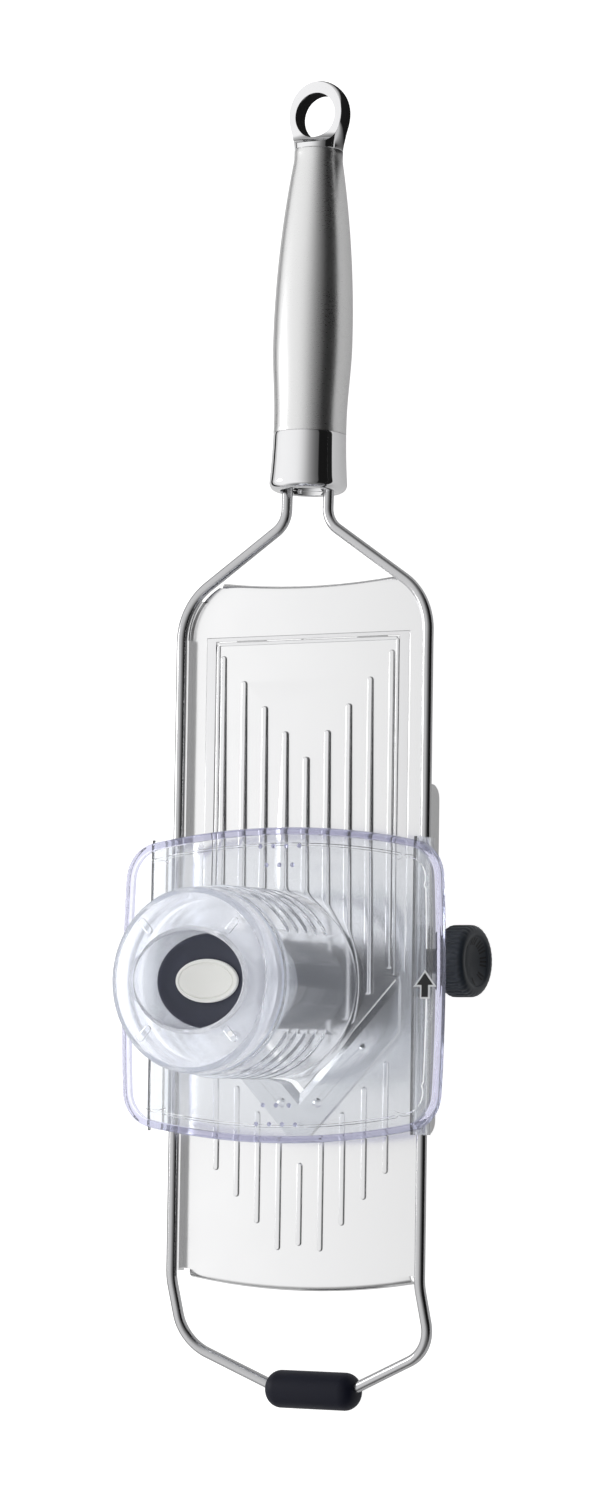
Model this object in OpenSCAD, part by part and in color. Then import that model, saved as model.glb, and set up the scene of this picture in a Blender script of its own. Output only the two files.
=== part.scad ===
// Hand-held mandoline slicer: a bent wire frame, a steel bed with a V blade,
// an infeed ramp that a snail cam raises and lowers, and a sliding food guard.
// Millimetres. +Y runs from the foot to the handle, +Z is the slicing side.

/* [Wire frame] */
// Diameter of the frame wire
wire_d = 3.4; // [2.8:0.1:4.2]
// Distance between the centre lines of the two rails
rail_gap = 88.2; // [73:0.1:106]
// Where the straight rails end on the handle side, from the guard's parking place
rail_top = 105; // [100:1:126]
// Where the straight rails end on the foot side, from the guard's parking place
rail_bottom = 88.3; // [84:0.1:106]
// Centre-line radius of the shoulder bends
shoulder_r = 20; // [16:1:24]
// Slope of the shoulder wires against the X axis, degrees
shoulder_slope = 34; // [30:1:38]
// Backward tilt of the shoulders and the handle, degrees
handle_tilt = 1.85; // [0.5:0.05:4]
// Half the distance between the two wires where they enter the ferrule
ferrule_wire_x = 7.4; // [6:0.1:8.4]
// Backward tilt of the foot, degrees
foot_tilt = 21; // [16:1:24]
// Straight length of the foot wires before their corners
foot_straight = 10; // [6:0.5:14]
// Centre-line radius of the foot corners
foot_corner_r = 14; // [10:0.5:18]
// Slope of the foot's legs against the X axis, degrees
foot_leg_slope = 25; // [20:1:30]

/* [Foot grip] */
// Length of the rubber grip
grip_len = 32; // [26:0.5:38]
// Diameter of the rubber grip
grip_d = 11.7; // [11.4:0.1:14]

/* [Handle] */
// Length of the polished ferrule
ferrule_len = 18; // [14:1:22]
// Diameter at the ferrule's open edge
ferrule_d = 24.2; // [22:0.1:29]
// Diameter at the waist above the ferrule
waist_d = 22.6; // [21:0.1:27]
// Diameter at the belly
belly_d = 24.7; // [22:0.1:29.6]
// Diameter at the neck below the eye
neck_d = 15.2; // [13:0.1:18]
// Distance from the ferrule's edge to the belly
belly_at = 47; // [40:1:56]
// Distance from the ferrule's edge to the eye's lower edge
handle_len = 107.5; // [90:0.5:129]
// Wall of the hollow handle
handle_wall = 1.2; // [0.8:0.1:2]
// Diameter of the hole in the hanging eye
eye_hole_d = 14.2; // [12:0.1:16]
// Thickness of the hanging eye
eye_t = 6; // [5:0.1:8]

/* [Bed] */
// Thickness of the steel sheet
sheet = 0.8; // [0.6:0.1:1]
// Depth of the bed below the rails' centre lines
bed_drop = 2.6; // [2.4:0.1:3.2]
// Where the bed's upper edge meets its corners
bed_top = 126.2; // [116:0.2:127]
// Where the bed's lower edge reaches in the middle
bed_bottom = 93.5; // [92:0.5:96]
// Width of the infeed opening
opening_w = 66; // [60:0.5:70]
// Upper edge of the infeed opening
opening_top = 107.7; // [100:0.1:112]
// Distance between two ribs
rib_pitch = 7.54; // [6.5:0.02:8]
// Width of a rib at the sheet
rib_w = 1.73; // [1.2:0.01:2.2]
// Height of a rib above the sheet
rib_h = 0.5; // [0.3:0.1:0.7]

/* [Blade and ramp] */
// Angle of the blade's arms against the X axis, degrees
blade_angle = 46.3; // [42:0.1:50]
// Where the lines of the blade's outer edges cross in the middle
blade_apex = -50.2; // [-54:0.2:-46]
// Width of the blade's band
blade_band = 12; // [10:0.5:14]
// Thickness of the blade
blade_t = 0.8; // [0.6:0.1:1]
// Gap between the cutting edge and the ramp, seen from above
blade_gap = 1.1; // [0.8:0.1:1.6]
// Clearance all round the ramp in its opening
ramp_clear = 0.3; // [0.2:0.05:0.5]
// Ramp travel for each unit of dial travel
ramp_ratio = 0.004; // [0.003:0.0005:0.004]
// Dial travel from rest that lifts the ramp flush, degrees
dial_up = 170; // [120:5:175]
// Dial travel from rest that lowers the ramp fully, degrees
dial_down = 100; // [60:5:120]

/* [Adjuster] */
// Centre of the cam shaft along the slicer
cam_y = 7.8; // [0:0.1:14]
// Depth of the cam shaft's centre below the rails' centre lines
cam_drop = 7.4; // [7.2:0.1:8.2]
// Diameter of the cam shaft
shaft_d = 3; // [2.6:0.1:3]
// Radial running clearance of the shaft and of the hinge pin
run_clear = 0.05; // [0.02:0.01:0.08]
// Diameter of the adjusting dial
dial_d = 22; // [18:0.5:22]
// Thickness of the dial's knurled body
dial_t = 9; // [7:0.2:12]
// Gap between the rail's outer side and the dial's back
dial_gap = 3.8; // [3:0.1:5]

/* [Food guard] */
// Width of the guard's flange
guard_w = 113.2; // [112:0.2:118]
// Length of the guard's flange
guard_l = 96.6; // [90:0.2:110]
// Height of the flange's top above the rails' centre lines
guard_top = 12.5; // [11:0.1:15]
// Height of the rim round the flange
guard_rim = 4; // [3:0.1:5]
// Wall of the clear plastic
guard_wall = 2; // [1.6:0.1:2.4]
// Outer diameter of the guard's column
column_d = 56.6; // [52:0.2:60]
// Height of the column's top above the rails' centre lines
column_top = 55; // [46:1:66]
// Height of the cap on the column
cap_h = 10; // [8:0.5:12]
// Width of the pusher's well, in X
well_w = 37.6; // [34:0.1:40]
// Length of the pusher's well, in Y
well_l = 29.3; // [26:0.1:32]
// Clearance of the pusher in its well
push_clear = 0.3; // [0.2:0.05:0.5]
// Depth of the pusher's top below the cap's face
push_sink = 11.8; // [8:0.1:13]

/* [Hidden] */
$fn = 64;
big_fn = 360;
eps = 0.01;
// Unit for blocks that cut right through a piece
over = 10;
// Handle: straight end, and the eye's flats, hole and outer slabs
neck_len = 3;
eye_flat_from = 1.5;
eye_hole_back = 0.4;
eye_slab = 9;
// Bed: trimmed upper corners, lips, shoulders and the border's upper band
corner_drop = 1.4;
corner_turn = 30;
edge_back = 1.6;
lip_inset = 1.5;
shoulder_drop = 0.9;
border_top_w = 0.9;
grind_reach = 6;
// Ramp: where its side flanges and ribs begin, and its knuckles' overlap
side_back = 8;
rib_start = 5;
knuckle_lap = 1.2;
pin_overhang = 0.6;
// Shaft: washer edge, clip groove and the clip's own lips
washer_inset = 0.4;
groove_deep = 0.4;
clip_lip = 0.5;
// Dial: dish, face ring, knurls and grub screw
dish_up = 11.6;
dish_r = 14.6;
dish_step = 0.6;
dial_ring_w = 3.2;
knurl_out = 0.15;
knurl_stop = 2.6;
grub_sink = 0.2;
grub_bite = 0.25;
hex_deep = 1.4;
hex_r = 0.7;
// Guard: how far ridges and nubs sink into the wall, and the cap's screw
ridge_lap = 0.5;
nub_sink = 0.2;
cap_screw_len = 5;
cap_screw_sink = 0.4;
// Pusher: rings of spikes as shares of the stem, their points, and the screw's cross slot
spikes_outer = 0.78;
spikes_inner = 0.42;
spike_tip_r = 0.1;
cross_w = 0.7;
cross_deep = 0.7;

// Rails and their bends
wire_r = wire_d / 2;
rail_x = rail_gap / 2;
neck_bend_r = 100;
foot_bend_r = 12;
wire_neck_r = 8;
neck_straight = 5.2;
wire_in_ferrule = 8;

// Shoulder, in the handle's own tilted frame: x and distance v along the handle
shoulder_turn = 90 - shoulder_slope;
shoulder_cx = rail_x - shoulder_r;
shoulder_end = [shoulder_cx + shoulder_r * cos(shoulder_turn), shoulder_r * sin(shoulder_turn)];
neck_cx = ferrule_wire_x + wire_neck_r;
neck_start_x = neck_cx - wire_neck_r * cos(shoulder_turn);
neck_start_v = shoulder_end[1] + (shoulder_end[0] - neck_start_x) * tan(shoulder_slope);
neck_end_v = neck_start_v + wire_neck_r * sin(shoulder_turn);
ferrule_v = neck_end_v + neck_straight;

// Foot, in its own tilted frame: x and distance u away from the rails
foot_turn = 90 - foot_leg_slope;
foot_cx = rail_x - foot_corner_r;
foot_leg_start = [foot_cx + foot_corner_r * cos(foot_turn), foot_straight + foot_corner_r * sin(foot_turn)];
grip_bend_r = 6;
grip_bend_x = 11;
foot_leg_end_x = grip_bend_x + grip_bend_r * sin(foot_leg_slope);
foot_leg_end_u = foot_leg_start[1] + (foot_leg_start[0] - foot_leg_end_x) * tan(foot_leg_slope);
grip_u = foot_leg_end_u + grip_bend_r * (1 - cos(foot_leg_slope));
grip_y = -rail_bottom - foot_bend_r * sin(foot_tilt) - grip_u * cos(foot_tilt);
grip_z = -foot_bend_r * (1 - cos(foot_tilt)) - grip_u * sin(foot_tilt);
grip_corner_r = 4.8;

// Handle stations, from the ferrule's lower edge
waist_at = ferrule_len + 4;
edge_round = 2.6;
ferrule_wall = 1.5;
eye_at = handle_len + 11.4;
eye_half_w = 9.8;
eye_rise = 10.8;
eye_shoulder_r = 5;

// Bed
bed_x = rail_x - wire_r + 0.03;
bed_z = -bed_drop;
bed_under = bed_z - sheet;
top_sag = 2;
top_corner_x = 32;
top_lip_r = 1.6;
bottom_sag = 3.5;
bottom_corner_x = 41 - (44.1 - rail_x);
bottom_lip_r = 2.5;
top_arc_r = (top_corner_x * top_corner_x + top_sag * top_sag) / (2 * top_sag);
bottom_arc_r = (bottom_corner_x * bottom_corner_x + bottom_sag * bottom_sag) / (2 * bottom_sag);
shoulder_y = rail_top + neck_bend_r * sin(handle_tilt);
flange_top = 0;
border_w = 3.2;
border_h = 0.3;
ribs = floor((opening_w / 2 - 2) / rib_pitch);
rib_step = 8.05;
infeed_rib_top = 71;
outfeed_rib_end = -89.25;
centre_rib_end = -79.7;
rib_gap = 4;

// Blade
blade_slope = tan(blade_angle);
cut_apex = blade_apex + blade_band / cos(blade_angle);
ramp_apex = cut_apex + blade_gap / cos(blade_angle);
bed_support = 8;
bed_apex = blade_apex + bed_support / cos(blade_angle);
blade_x = opening_w / 2 + 1.6;
blade_flat = 4.2;
blade_z = bed_z;
blade_top = blade_z + blade_t;
bevel_w = 2.5;
edge_t = 0.15;
rivet_inset = 5.4;
rivet_along = [14.9, 38.1];
rivet_r = 0.9;
rivet_head_r = 1.6;
rivet_head_h = 0.45;

// Ramp and its hinge
ramp_x = opening_w / 2 - ramp_clear;
ramp_top = opening_top - ramp_clear;
hinge_y = ramp_top - 1.4;
hinge_pin_r = 1;
knuckle_r = 2;
hinge_z = bed_under - knuckle_r;
ramp_rest = ramp_ratio * dial_up;
ramp_flange = 4;
pad_t = 0.5;
cam_clear = 0.1;
cam_arm = hinge_y - cam_y;
lug_x = opening_w / 2 + 1;
lug_t = 2;
knuckle_x = ramp_x - 16;
knuckle_len = 10;

// Cam and shaft
cam_z = -cam_drop;
shaft_r = shaft_d / 2;
cam_rise = cam_arm * ramp_ratio * PI / 180;
cam_max = cam_drop + bed_under - pad_t - cam_clear;
cam_x = ramp_x - 12.7;
cam_w = 6;
pad_len = 8;
web_x = bed_x - 2;
web_t = 1.2;
web_bottom = -13;
web_top_y = 62;
web_bottom_y = -45;
web_round = 4.5;
foot_flange = 5.8;
bush_r = 2.6;
bush_flange_r = 3.1;
bush_flange_t = 0.8;
washer_t = 0.3;
hub_r = 3.8;
hub_x = web_x + web_t + washer_t + 0.1;
dial_x = rail_x + wire_r + dial_gap;
dial_end = dial_x + dial_t;
dial_r = dial_d / 2;
clip_x = web_x + web_t + 0.4;
clip_t = 0.7;
shaft_end = clip_x + clip_t + 0.9;
shaft_in_dial = dial_t - 4;
grub_r = 1.25;
knurls = 36;
knurl_r = 0.45;

// Guard
guard_a = guard_w / 2;
guard_b = guard_l / 2;
guard_side_r = 640;
guard_end_r = 250;
guard_corner_r = 12;
flange_z = guard_top - guard_wall;
rim_z = guard_top - guard_rim;
column_r = column_d / 2;
slide_clear = 0.3;
rail_outer_x = rail_x + wire_r + slide_clear;
runner_z = wire_r + 0.15;
runner_t = 1.8;
runner_wall = 1;
runner_half = 45;
runner_drop = -0.3;
runner_in = 3.4;
cap_top = column_top + cap_h;
cap_r = column_r - 0.5;
cap_round = 3.5;
spigot_h = 4;
sleeve_t = 1.5;
ledge_z = column_top - 9;
guide_z = column_top - 19;
guide_step = 0.5;
slot_at = [15, 16];
slot_len = 5.7;
slot_w = 2.2;
slot_deep = 1;
cap_screw_r = 0.9;
ridge_z = [25, 30.5, 36, 41.5, 47];
ridge_from = 32;
ridge_out = 0.7;
ridge_h = 1.2;
nub_r = 0.75;
nub_rows = [[42.5, 4], [36.7, 3]];
nub_pitch = 4.6;

// Pusher
push_top = cap_top - push_sink;
badge_t = 1.2;
badge_a = 10.8;
badge_b = 6.55;
stem_wall = 2;
plate_z = 3;
plate_t = 2;
spike_tip = blade_top + 1;
spike_r = 0.6;
spike_point = 2.5;
boss_r = 4;
screw_r = 1.5;
screw_head_r = 2.6;
screw_head_h = 1.6;
screw_len = 12;
arrow_x = guard_a - 5;
arrow_w = 5.7;
arrow_l = 7.3;
arrow_t = 0.2;

// The frame's origin: the middle of the whole slicer's footprint, on the surface it lies on
eye_tip_v = ferrule_v + eye_at + eye_rise;
tip_y = shoulder_y + eye_tip_v * cos(handle_tilt);
foot_low = grip_z - grip_d / 2;
origin_shift = [
    (guard_a - dial_end) / 2,
    -(tip_y + grip_y - grip_d / 2) / 2,
    -foot_low
];

module placed() {
    translate(origin_shift) children();
}

// Frame of the shoulders and the handle, tilted back about the end of the rails
module handle_frame() {
    translate([0, rail_top, -neck_bend_r]) rotate([-handle_tilt, 0, 0])
        translate([0, 0, neck_bend_r]) children();
}

// Frame of the foot, tilted down about the end of the rails
module foot_frame() {
    translate([0, -rail_bottom, -foot_bend_r]) rotate([foot_tilt, 0, 0])
        translate([0, 0, foot_bend_r]) children();
}

// The ramp's own frame, turned about its hinge to where the dial holds it at rest
module ramp_frame() {
    translate([0, hinge_y, hinge_z]) rotate([ramp_rest, 0, 0])
        translate([0, -hinge_y, -hinge_z]) children();
}

// Both sides of something drawn on the right
module both_sides() {
    children();
    mirror([1, 0, 0]) children();
}

// Round bar between two points
module bar(a, b, r) {
    d = b - a;
    translate(a) rotate([0, acos(d[2] / norm(d)), atan2(d[1], d[0])])
        cylinder(h = norm(d), r = r);
}

// Round bar bent along a path; side is a direction that the path never runs in
function unit(v) = v / norm(v);
function run_at(path, i) = unit(path[min(i + 1, len(path) - 1)] - path[max(i - 1, 0)]);
function ring_at(path, i, r, side, n) =
    let (t = run_at(path, i), u = unit(cross(t, side)), w = cross(t, u))
    [for (k = [0:n - 1]) path[i] + r * (cos(360 * k / n) * u + sin(360 * k / n) * w)];
module bent_bar(path, r, side, n) {
    last = (len(path) - 1) * n;
    points = [for (i = [0:len(path) - 1]) each ring_at(path, i, r, side, n)];
    skin = [for (i = [0:len(path) - 2], k = [0:n - 1])
        let (a = i * n, m = (k + 1) % n) [a + k, a + n + k, a + n + m, a + m]];
    polyhedron(points, concat(
        [[for (k = [0:n - 1]) k]], skin, [[for (k = [n - 1:-1:0]) last + k]]), convexity = 10);
}

// Points of an arc in a plane of constant Z
function arc_flat(centre, r, from, to, n) =
    [for (i = [0:n]) let (a = from + (to - from) * i / n) [centre[0] + r * cos(a), centre[1] + r * sin(a), 0]];

// Turns a revolved profile so that its axis runs along +Y
module along_y() {
    rotate([-90, 0, 0]) children();
}

// Turns a revolved profile so that its axis runs along +X
module along_x() {
    rotate([0, 90, 0]) children();
}

// Extrudes a profile drawn in Y and Z along +X
module plate_x(x, t) {
    translate([x, 0, 0]) rotate([90, 0, 90]) linear_extrude(t) children();
}

module at_shaft() {
    translate([0, cam_y, cam_z]) children();
}

// A point of a flat outline, tilted about the end of the rails at y, where the bend's radius is r
function tilted(p, y, r, angle) = [
    p[0],
    y + p[1] * cos(angle) - r * sin(angle),
    p[1] * sin(angle) + r * (cos(angle) - 1)
];
function in_handle(p) = tilted(p, rail_top, neck_bend_r, -handle_tilt);
function in_foot(p) = tilted(p, -rail_bottom, foot_bend_r, foot_tilt);
function mirrored(p) = [-p[0], p[1], p[2]];
function back_again(path) = [for (i = [len(path) - 2:-1:0]) mirrored(path[i])];

// The wire's path on the right: ferrule, shoulder, rail, foot corner and the middle of the grip
shoulder_path = [for (p = concat(
    [[ferrule_wire_x, ferrule_v + wire_in_ferrule, 0]],
    arc_flat([neck_cx, neck_end_v], wire_neck_r, 180, 180 + shoulder_turn, 6),
    arc_flat([shoulder_cx, 0], shoulder_r, shoulder_turn, 0, 8))) in_handle(p)];
foot_bend_path = [for (i = [0:3]) in_bend(foot_tilt * i / 4)];
function in_bend(angle) = tilted([rail_x, 0], -rail_bottom, foot_bend_r, angle);
foot_path = [for (p = concat(
    [[rail_x, 0, 0]],
    arc_flat([foot_cx, -foot_straight], foot_corner_r, 0, -foot_turn, 8),
    arc_flat([grip_bend_x, grip_bend_r - grip_u], grip_bend_r, foot_leg_slope - 90, -90, 4),
    [[0, -grip_u, 0]])) in_foot(p)];
half_path = concat(shoulder_path, [[rail_x, rail_top, 0]], foot_bend_path, foot_path);
wire_path = concat(half_path, back_again(half_path));
grip_path = concat(foot_path, back_again(foot_path));
wire_sides = 16;

module frame_wire() {
    color("silver") placed() bent_bar(wire_path, wire_r, [0, 0, 1], wire_sides);
}

// Half section of a round bar with rounded ends: radius in X, length in Y
module rounded_half(r, half_len, corner) {
    intersection() {
        union() {
            translate([0, -half_len + corner]) square([r, 2 * (half_len - corner)]);
            translate([0, -half_len]) square([r - corner, 2 * half_len]);
            for (s = [-1, 1]) translate([r - corner, s * (half_len - corner)]) circle(corner);
        }
        translate([0, -half_len]) square([r, 2 * half_len]);
    }
}

module foot_grip() {
    color([0.12, 0.13, 0.18]) placed() difference() {
        foot_frame() translate([0, -grip_u, 0]) along_x()
            rotate_extrude() rounded_half(grip_d / 2, grip_len / 2, grip_corner_r);
        bent_bar(grip_path, wire_r, [0, 0, 1], wire_sides);
    }
}

// Radius of the handle at a distance from the ferrule's lower edge
function flare_r(v) =
    waist_d / 2 + (ferrule_d - waist_d) / 2 * pow((waist_at - v) / (waist_at - edge_round), 2);
function belly_r(v) =
    waist_d / 2 + (belly_d - waist_d) / 2 * (1 - cos(180 * (v - waist_at) / (belly_at - waist_at))) / 2;
function taper_r(v) =
    belly_d / 2 - (belly_d - neck_d) / 2 * pow((v - belly_at) / (handle_len - neck_len - belly_at), 2);
function handle_r(v) =
    v < waist_at ? flare_r(v) :
    v < belly_at ? belly_r(v) :
    v < handle_len - neck_len ? taper_r(v) : neck_d / 2;

// Outline of the handle between two stations, made thinner all over by inset
function handle_outline(from, to, inset) =
    let (steps = ceil((to - from) / 3))
    [for (i = [0:steps]) let (v = from + (to - from) * i / steps) [handle_r(v) - inset, v]];
module handle_solid(from, to, inset) {
    along_y() rotate_extrude() polygon(concat([[0, from]], handle_outline(from, to, inset), [[0, to]]));
}

module ferrule() {
    lip_x = ferrule_d / 2 - edge_round;
    lip = [for (a = [-90:15:-15]) [lip_x + edge_round * cos(a), edge_round * (1 + sin(a))]];
    color([0.75, 0.75, 0.77]) placed() handle_frame() translate([0, ferrule_v, 0]) difference() {
        along_y() rotate_extrude()
            polygon(concat([[0, 0]], lip, handle_outline(edge_round, ferrule_len, 0), [[0, ferrule_len]]));
        translate([0, edge_round + 1, 0]) handle_solid(0, ferrule_len - edge_round, handle_wall + ferrule_wall);
        for (s = [-1, 1]) bar([s * ferrule_wire_x, -1, 0], [s * ferrule_wire_x, wire_in_ferrule, 0], wire_r);
    }
}

module handle_body() {
    color("silver") placed() handle_frame() translate([0, ferrule_v, 0]) difference() {
        handle_solid(ferrule_len, handle_len, 0);
        handle_solid(ferrule_len - 1, handle_len - 6, handle_wall);
    }
}

// The eye: an egg-shaped end, flattened on two sides and drilled
module hanging_eye() {
    start = handle_len;
    steps = 24;
    flank = [
        for (i = [0:6]) let (t = i / 6)
            [neck_d / 2 + (eye_half_w - neck_d / 2) * (1 - cos(180 * t)) / 2, start + t * (eye_at - start)]
    ];
    crown = [for (i = [1:steps]) let (a = 90 * i / steps) [eye_half_w * cos(a), eye_at + eye_rise * sin(a)]];
    color([0.75, 0.75, 0.77]) placed() handle_frame() translate([0, ferrule_v, 0]) difference() {
        along_y() rotate_extrude() polygon(concat([[0, start]], flank, crown));
        for (s = [-1, 1]) translate([0, start + eye_flat_from + eye_shoulder_r, s * (eye_t / 2 + eye_shoulder_r)]) {
            translate([-1.5 * over, 0, 0]) along_x() cylinder(h = 3 * over, r = eye_shoulder_r);
            translate([-1.5 * over, 0, -eye_shoulder_r]) cube([3 * over, 3 * over, 2 * eye_shoulder_r]);
            translate([-1.5 * over, -eye_shoulder_r, s > 0 ? 0 : -eye_slab]) cube([3 * over, 4 * over, eye_slab]);
        }
        translate([0, eye_at - eye_hole_back, -over]) cylinder(h = 2 * over, d = eye_hole_d);
    }
}

// Where the inner side of the wires lets the bed reach, up in the shoulders
module between_wires() {
    translate([-bed_x, -bed_bottom - over]) square([2 * bed_x, bed_bottom + over + shoulder_y]);
    translate([-shoulder_cx, shoulder_y - eps]) square([2 * shoulder_cx, shoulder_r]);
    for (s = [-1, 1]) translate([s * shoulder_cx, shoulder_y]) circle(bed_x - shoulder_cx, $fn = big_fn);
}

module bed_outline() {
    difference() {
        intersection() {
            between_wires();
            translate([0, bottom_arc_r - bed_bottom]) union() {
                circle(bottom_arc_r - bottom_lip_r, $fn = big_fn);
                translate([-bed_x, 0]) square([2 * bed_x, 20 * over]);
            }
        }
        translate([0, bed_top - top_sag + top_arc_r]) circle(top_arc_r + top_lip_r, $fn = big_fn);
        for (s = [-1, 1]) translate([s * (top_corner_x + over), bed_top - corner_drop]) rotate([0, 0, -s * corner_turn])
            translate([-1.5 * over, 0]) square([3 * over, 2 * over]);
        translate([-bed_x - 1, bed_top - edge_back]) square([2 * bed_x + 2, 3 * over]);
    }
}

// Opening for the ramp, ending in a V under the blade
module opening_outline() {
    half = opening_w / 2;
    polygon([
        [-half, opening_top], [half, opening_top],
        [half, bed_apex + half * blade_slope], [0, bed_apex], [-half, bed_apex + half * blade_slope]
    ]);
}

// One embossed rib: a rounded bar that stands out of the sheet
module rib(x, from, to) {
    r = (rib_h * rib_h + rib_w * rib_w / 4) / (2 * rib_h);
    axis_z = bed_z + rib_h - r;
    intersection() {
        union() {
            bar([x, from + rib_w / 2, axis_z], [x, to - rib_w / 2, axis_z], r);
            for (y = [from + rib_w / 2, to - rib_w / 2]) translate([x, y, axis_z]) sphere(r);
        }
        translate([x - rib_w, from - rib_w, bed_z - sheet / 2]) cube([2 * rib_w, to - from + 2 * rib_w, sheet / 2 + rib_h]);
    }
}

// Quarter-round lip that turns the sheet's edge down, on the inner (-1) or outer (1) side of its arc
module lip_section(radius, r, side) {
    lap = 0.5;
    translate([radius, bed_z - r]) difference() {
        circle(r);
        circle(r - sheet);
        translate([side > 0 ? -2 * r : 0, -2 * r]) square([2 * r, 4 * r]);
        translate([-2 * r, -2 * r]) square([4 * r, 2 * r]);
    }
    translate([side > 0 ? radius - lap : radius, bed_under]) square([lap, sheet]);
}

module bed_lips() {
    top_turn = asin((top_corner_x - 1) / top_arc_r);
    bottom_turn = asin((bottom_corner_x - lip_inset) / bottom_arc_r);
    translate([0, bed_top - top_sag + top_arc_r, 0]) rotate([0, 0, -90 - top_turn])
        rotate_extrude(angle = 2 * top_turn, $fn = big_fn) lip_section(top_arc_r + top_lip_r, top_lip_r, -1);
    translate([0, bottom_arc_r - bed_bottom, 0]) rotate([0, 0, -90 - bottom_turn])
        rotate_extrude(angle = 2 * bottom_turn, $fn = big_fn)
            lip_section(bottom_arc_r - bottom_lip_r, bottom_lip_r, 1);
}

// Upstands that carry the bed on the wires
module bed_flanges() {
    flange_turn = 42;
    both_sides() {
        translate([bed_x - sheet, -rail_bottom, bed_under]) cube([sheet, rail_bottom + shoulder_y, flange_top - bed_under]);
        translate([shoulder_cx, shoulder_y, 0]) rotate_extrude(angle = flange_turn, $fn = big_fn)
            translate([bed_x - sheet - shoulder_cx, bed_under]) square([sheet, flange_top - bed_under - shoulder_drop]);
    }
}

// Where a rivet stands, on the right arm
function rivet_at(along) = [
    along * cos(blade_angle) - rivet_inset * sin(blade_angle),
    blade_apex + along * sin(blade_angle) + rivet_inset * cos(blade_angle)
];

module rivet_holes() {
    both_sides() for (d = rivet_along)
        translate([rivet_at(d)[0], rivet_at(d)[1], bed_under - 1]) cylinder(h = over / 2, r = rivet_r);
}

module bed() {
    half = opening_w / 2;
    border_low = cut_apex + blade_x * blade_slope + 1;
    color([0.86, 0.86, 0.87]) placed() difference() {
        union() {
            translate([0, 0, bed_under]) linear_extrude(sheet) bed_outline();
            bed_lips();
            bed_flanges();
            translate([-half - border_w, border_low, bed_z - eps])
                cube([2 * (half + border_w), opening_top + border_top_w - border_low, border_h + eps]);
            for (i = [-ribs:ribs]) {
                end = i == 0 ? centre_rib_end : outfeed_rib_end + rib_step * abs(i);
                rib(i * rib_pitch, end, blade_apex + abs(i) * rib_pitch * blade_slope - rib_gap);
            }
        }
        translate([0, 0, bed_under - over / 2]) linear_extrude(over) opening_outline();
        rivet_holes();
    }
}

// Plan of the V blade
module blade_outline() {
    corner_y = blade_apex + (blade_x - 1) * blade_slope;
    right = [
        [blade_flat, blade_apex + blade_flat * blade_slope],
        [blade_x - 1, corner_y],
        [blade_x, corner_y + 2],
        [blade_x, cut_apex + blade_x * blade_slope]
    ];
    left = [for (i = [len(right) - 1:-1:0]) [-right[i][0], right[i][1]]];
    polygon(concat(right, [[0, cut_apex]], left));
}

module v_blade() {
    grind = atan((blade_t - edge_t) / bevel_w);
    color([0.8, 0.8, 0.82]) placed() difference() {
        translate([0, 0, blade_z]) linear_extrude(blade_t) blade_outline();
        both_sides() intersection() {
            translate([0, cut_apex, blade_z + edge_t]) rotate([0, 0, blade_angle])
                rotate([-grind, 0, 0]) translate([-2 * over, -grind_reach, 0]) cube([9 * over, 2 * grind_reach, over / 2]);
            translate([0, -10 * over, -2 * over]) cube([10 * over, 20 * over, 4 * over]);
        }
        rivet_holes();
    }
}

// One rivet: a low dome above the blade, a shank, and a flat closing head below the bed
module rivet() {
    dome_r = (rivet_head_h * rivet_head_h + rivet_head_r * rivet_head_r) / (2 * rivet_head_h);
    intersection() {
        translate([0, 0, blade_top + rivet_head_h - dome_r]) sphere(dome_r);
        translate([0, 0, blade_top]) cylinder(h = 2, r = rivet_head_r);
    }
    translate([0, 0, bed_under]) cylinder(h = blade_top - bed_under, r = rivet_r);
    translate([0, 0, bed_under - rivet_head_h]) cylinder(h = rivet_head_h, r = rivet_head_r);
}

module blade_rivets() {
    color("gray") placed() both_sides() for (d = rivet_along)
        translate([rivet_at(d)[0], rivet_at(d)[1], 0]) rivet();
}

// Strip under the bed that carries one end of the cam shaft
module side_plate() {
    difference() {
        union() {
            plate_x(web_x, web_t) {
                translate([web_bottom_y, web_bottom + web_round])
                    square([web_top_y - web_bottom_y, bed_under - web_bottom - web_round]);
                translate([web_bottom_y + web_round, web_bottom])
                    square([web_top_y - web_bottom_y - 2 * web_round, web_round + eps]);
                for (y = [web_bottom_y + web_round, web_top_y - web_round])
                    translate([y, web_bottom + web_round]) circle(web_round);
            }
            translate([web_x - foot_flange, web_bottom_y, bed_under - sheet])
                cube([foot_flange + eps, web_top_y - web_bottom_y, sheet]);
        }
        at_shaft() translate([web_x - 1, 0, 0]) along_x() cylinder(h = web_t + 2, r = bush_r);
    }
}

module side_plate_right() {
    color([0.8, 0.82, 0.8]) placed() side_plate();
}

module side_plate_left() {
    color([0.8, 0.82, 0.8]) placed() mirror([1, 0, 0]) side_plate();
}

// Flanged plain bearing pressed into a side plate
module shaft_bush() {
    at_shaft() difference() {
        union() {
            translate([web_x, 0, 0]) along_x() cylinder(h = web_t, r = bush_r);
            translate([web_x - bush_flange_t, 0, 0]) along_x() cylinder(h = bush_flange_t, r = bush_flange_r);
        }
        translate([web_x - 2, 0, 0]) along_x() cylinder(h = over / 2, r = shaft_r + run_clear);
    }
}

module shaft_bush_right() {
    color([0.25, 0.26, 0.3]) placed() shaft_bush();
}

module shaft_bush_left() {
    color([0.25, 0.26, 0.3]) placed() mirror([1, 0, 0]) shaft_bush();
}

module friction_washer() {
    color("silver") placed() at_shaft() translate([web_x + web_t, 0, 0]) along_x() difference() {
        cylinder(h = washer_t, r = hub_r - washer_inset);
        translate([0, 0, -1]) cylinder(h = washer_t + 2, r = shaft_r + run_clear);
    }
}

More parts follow.
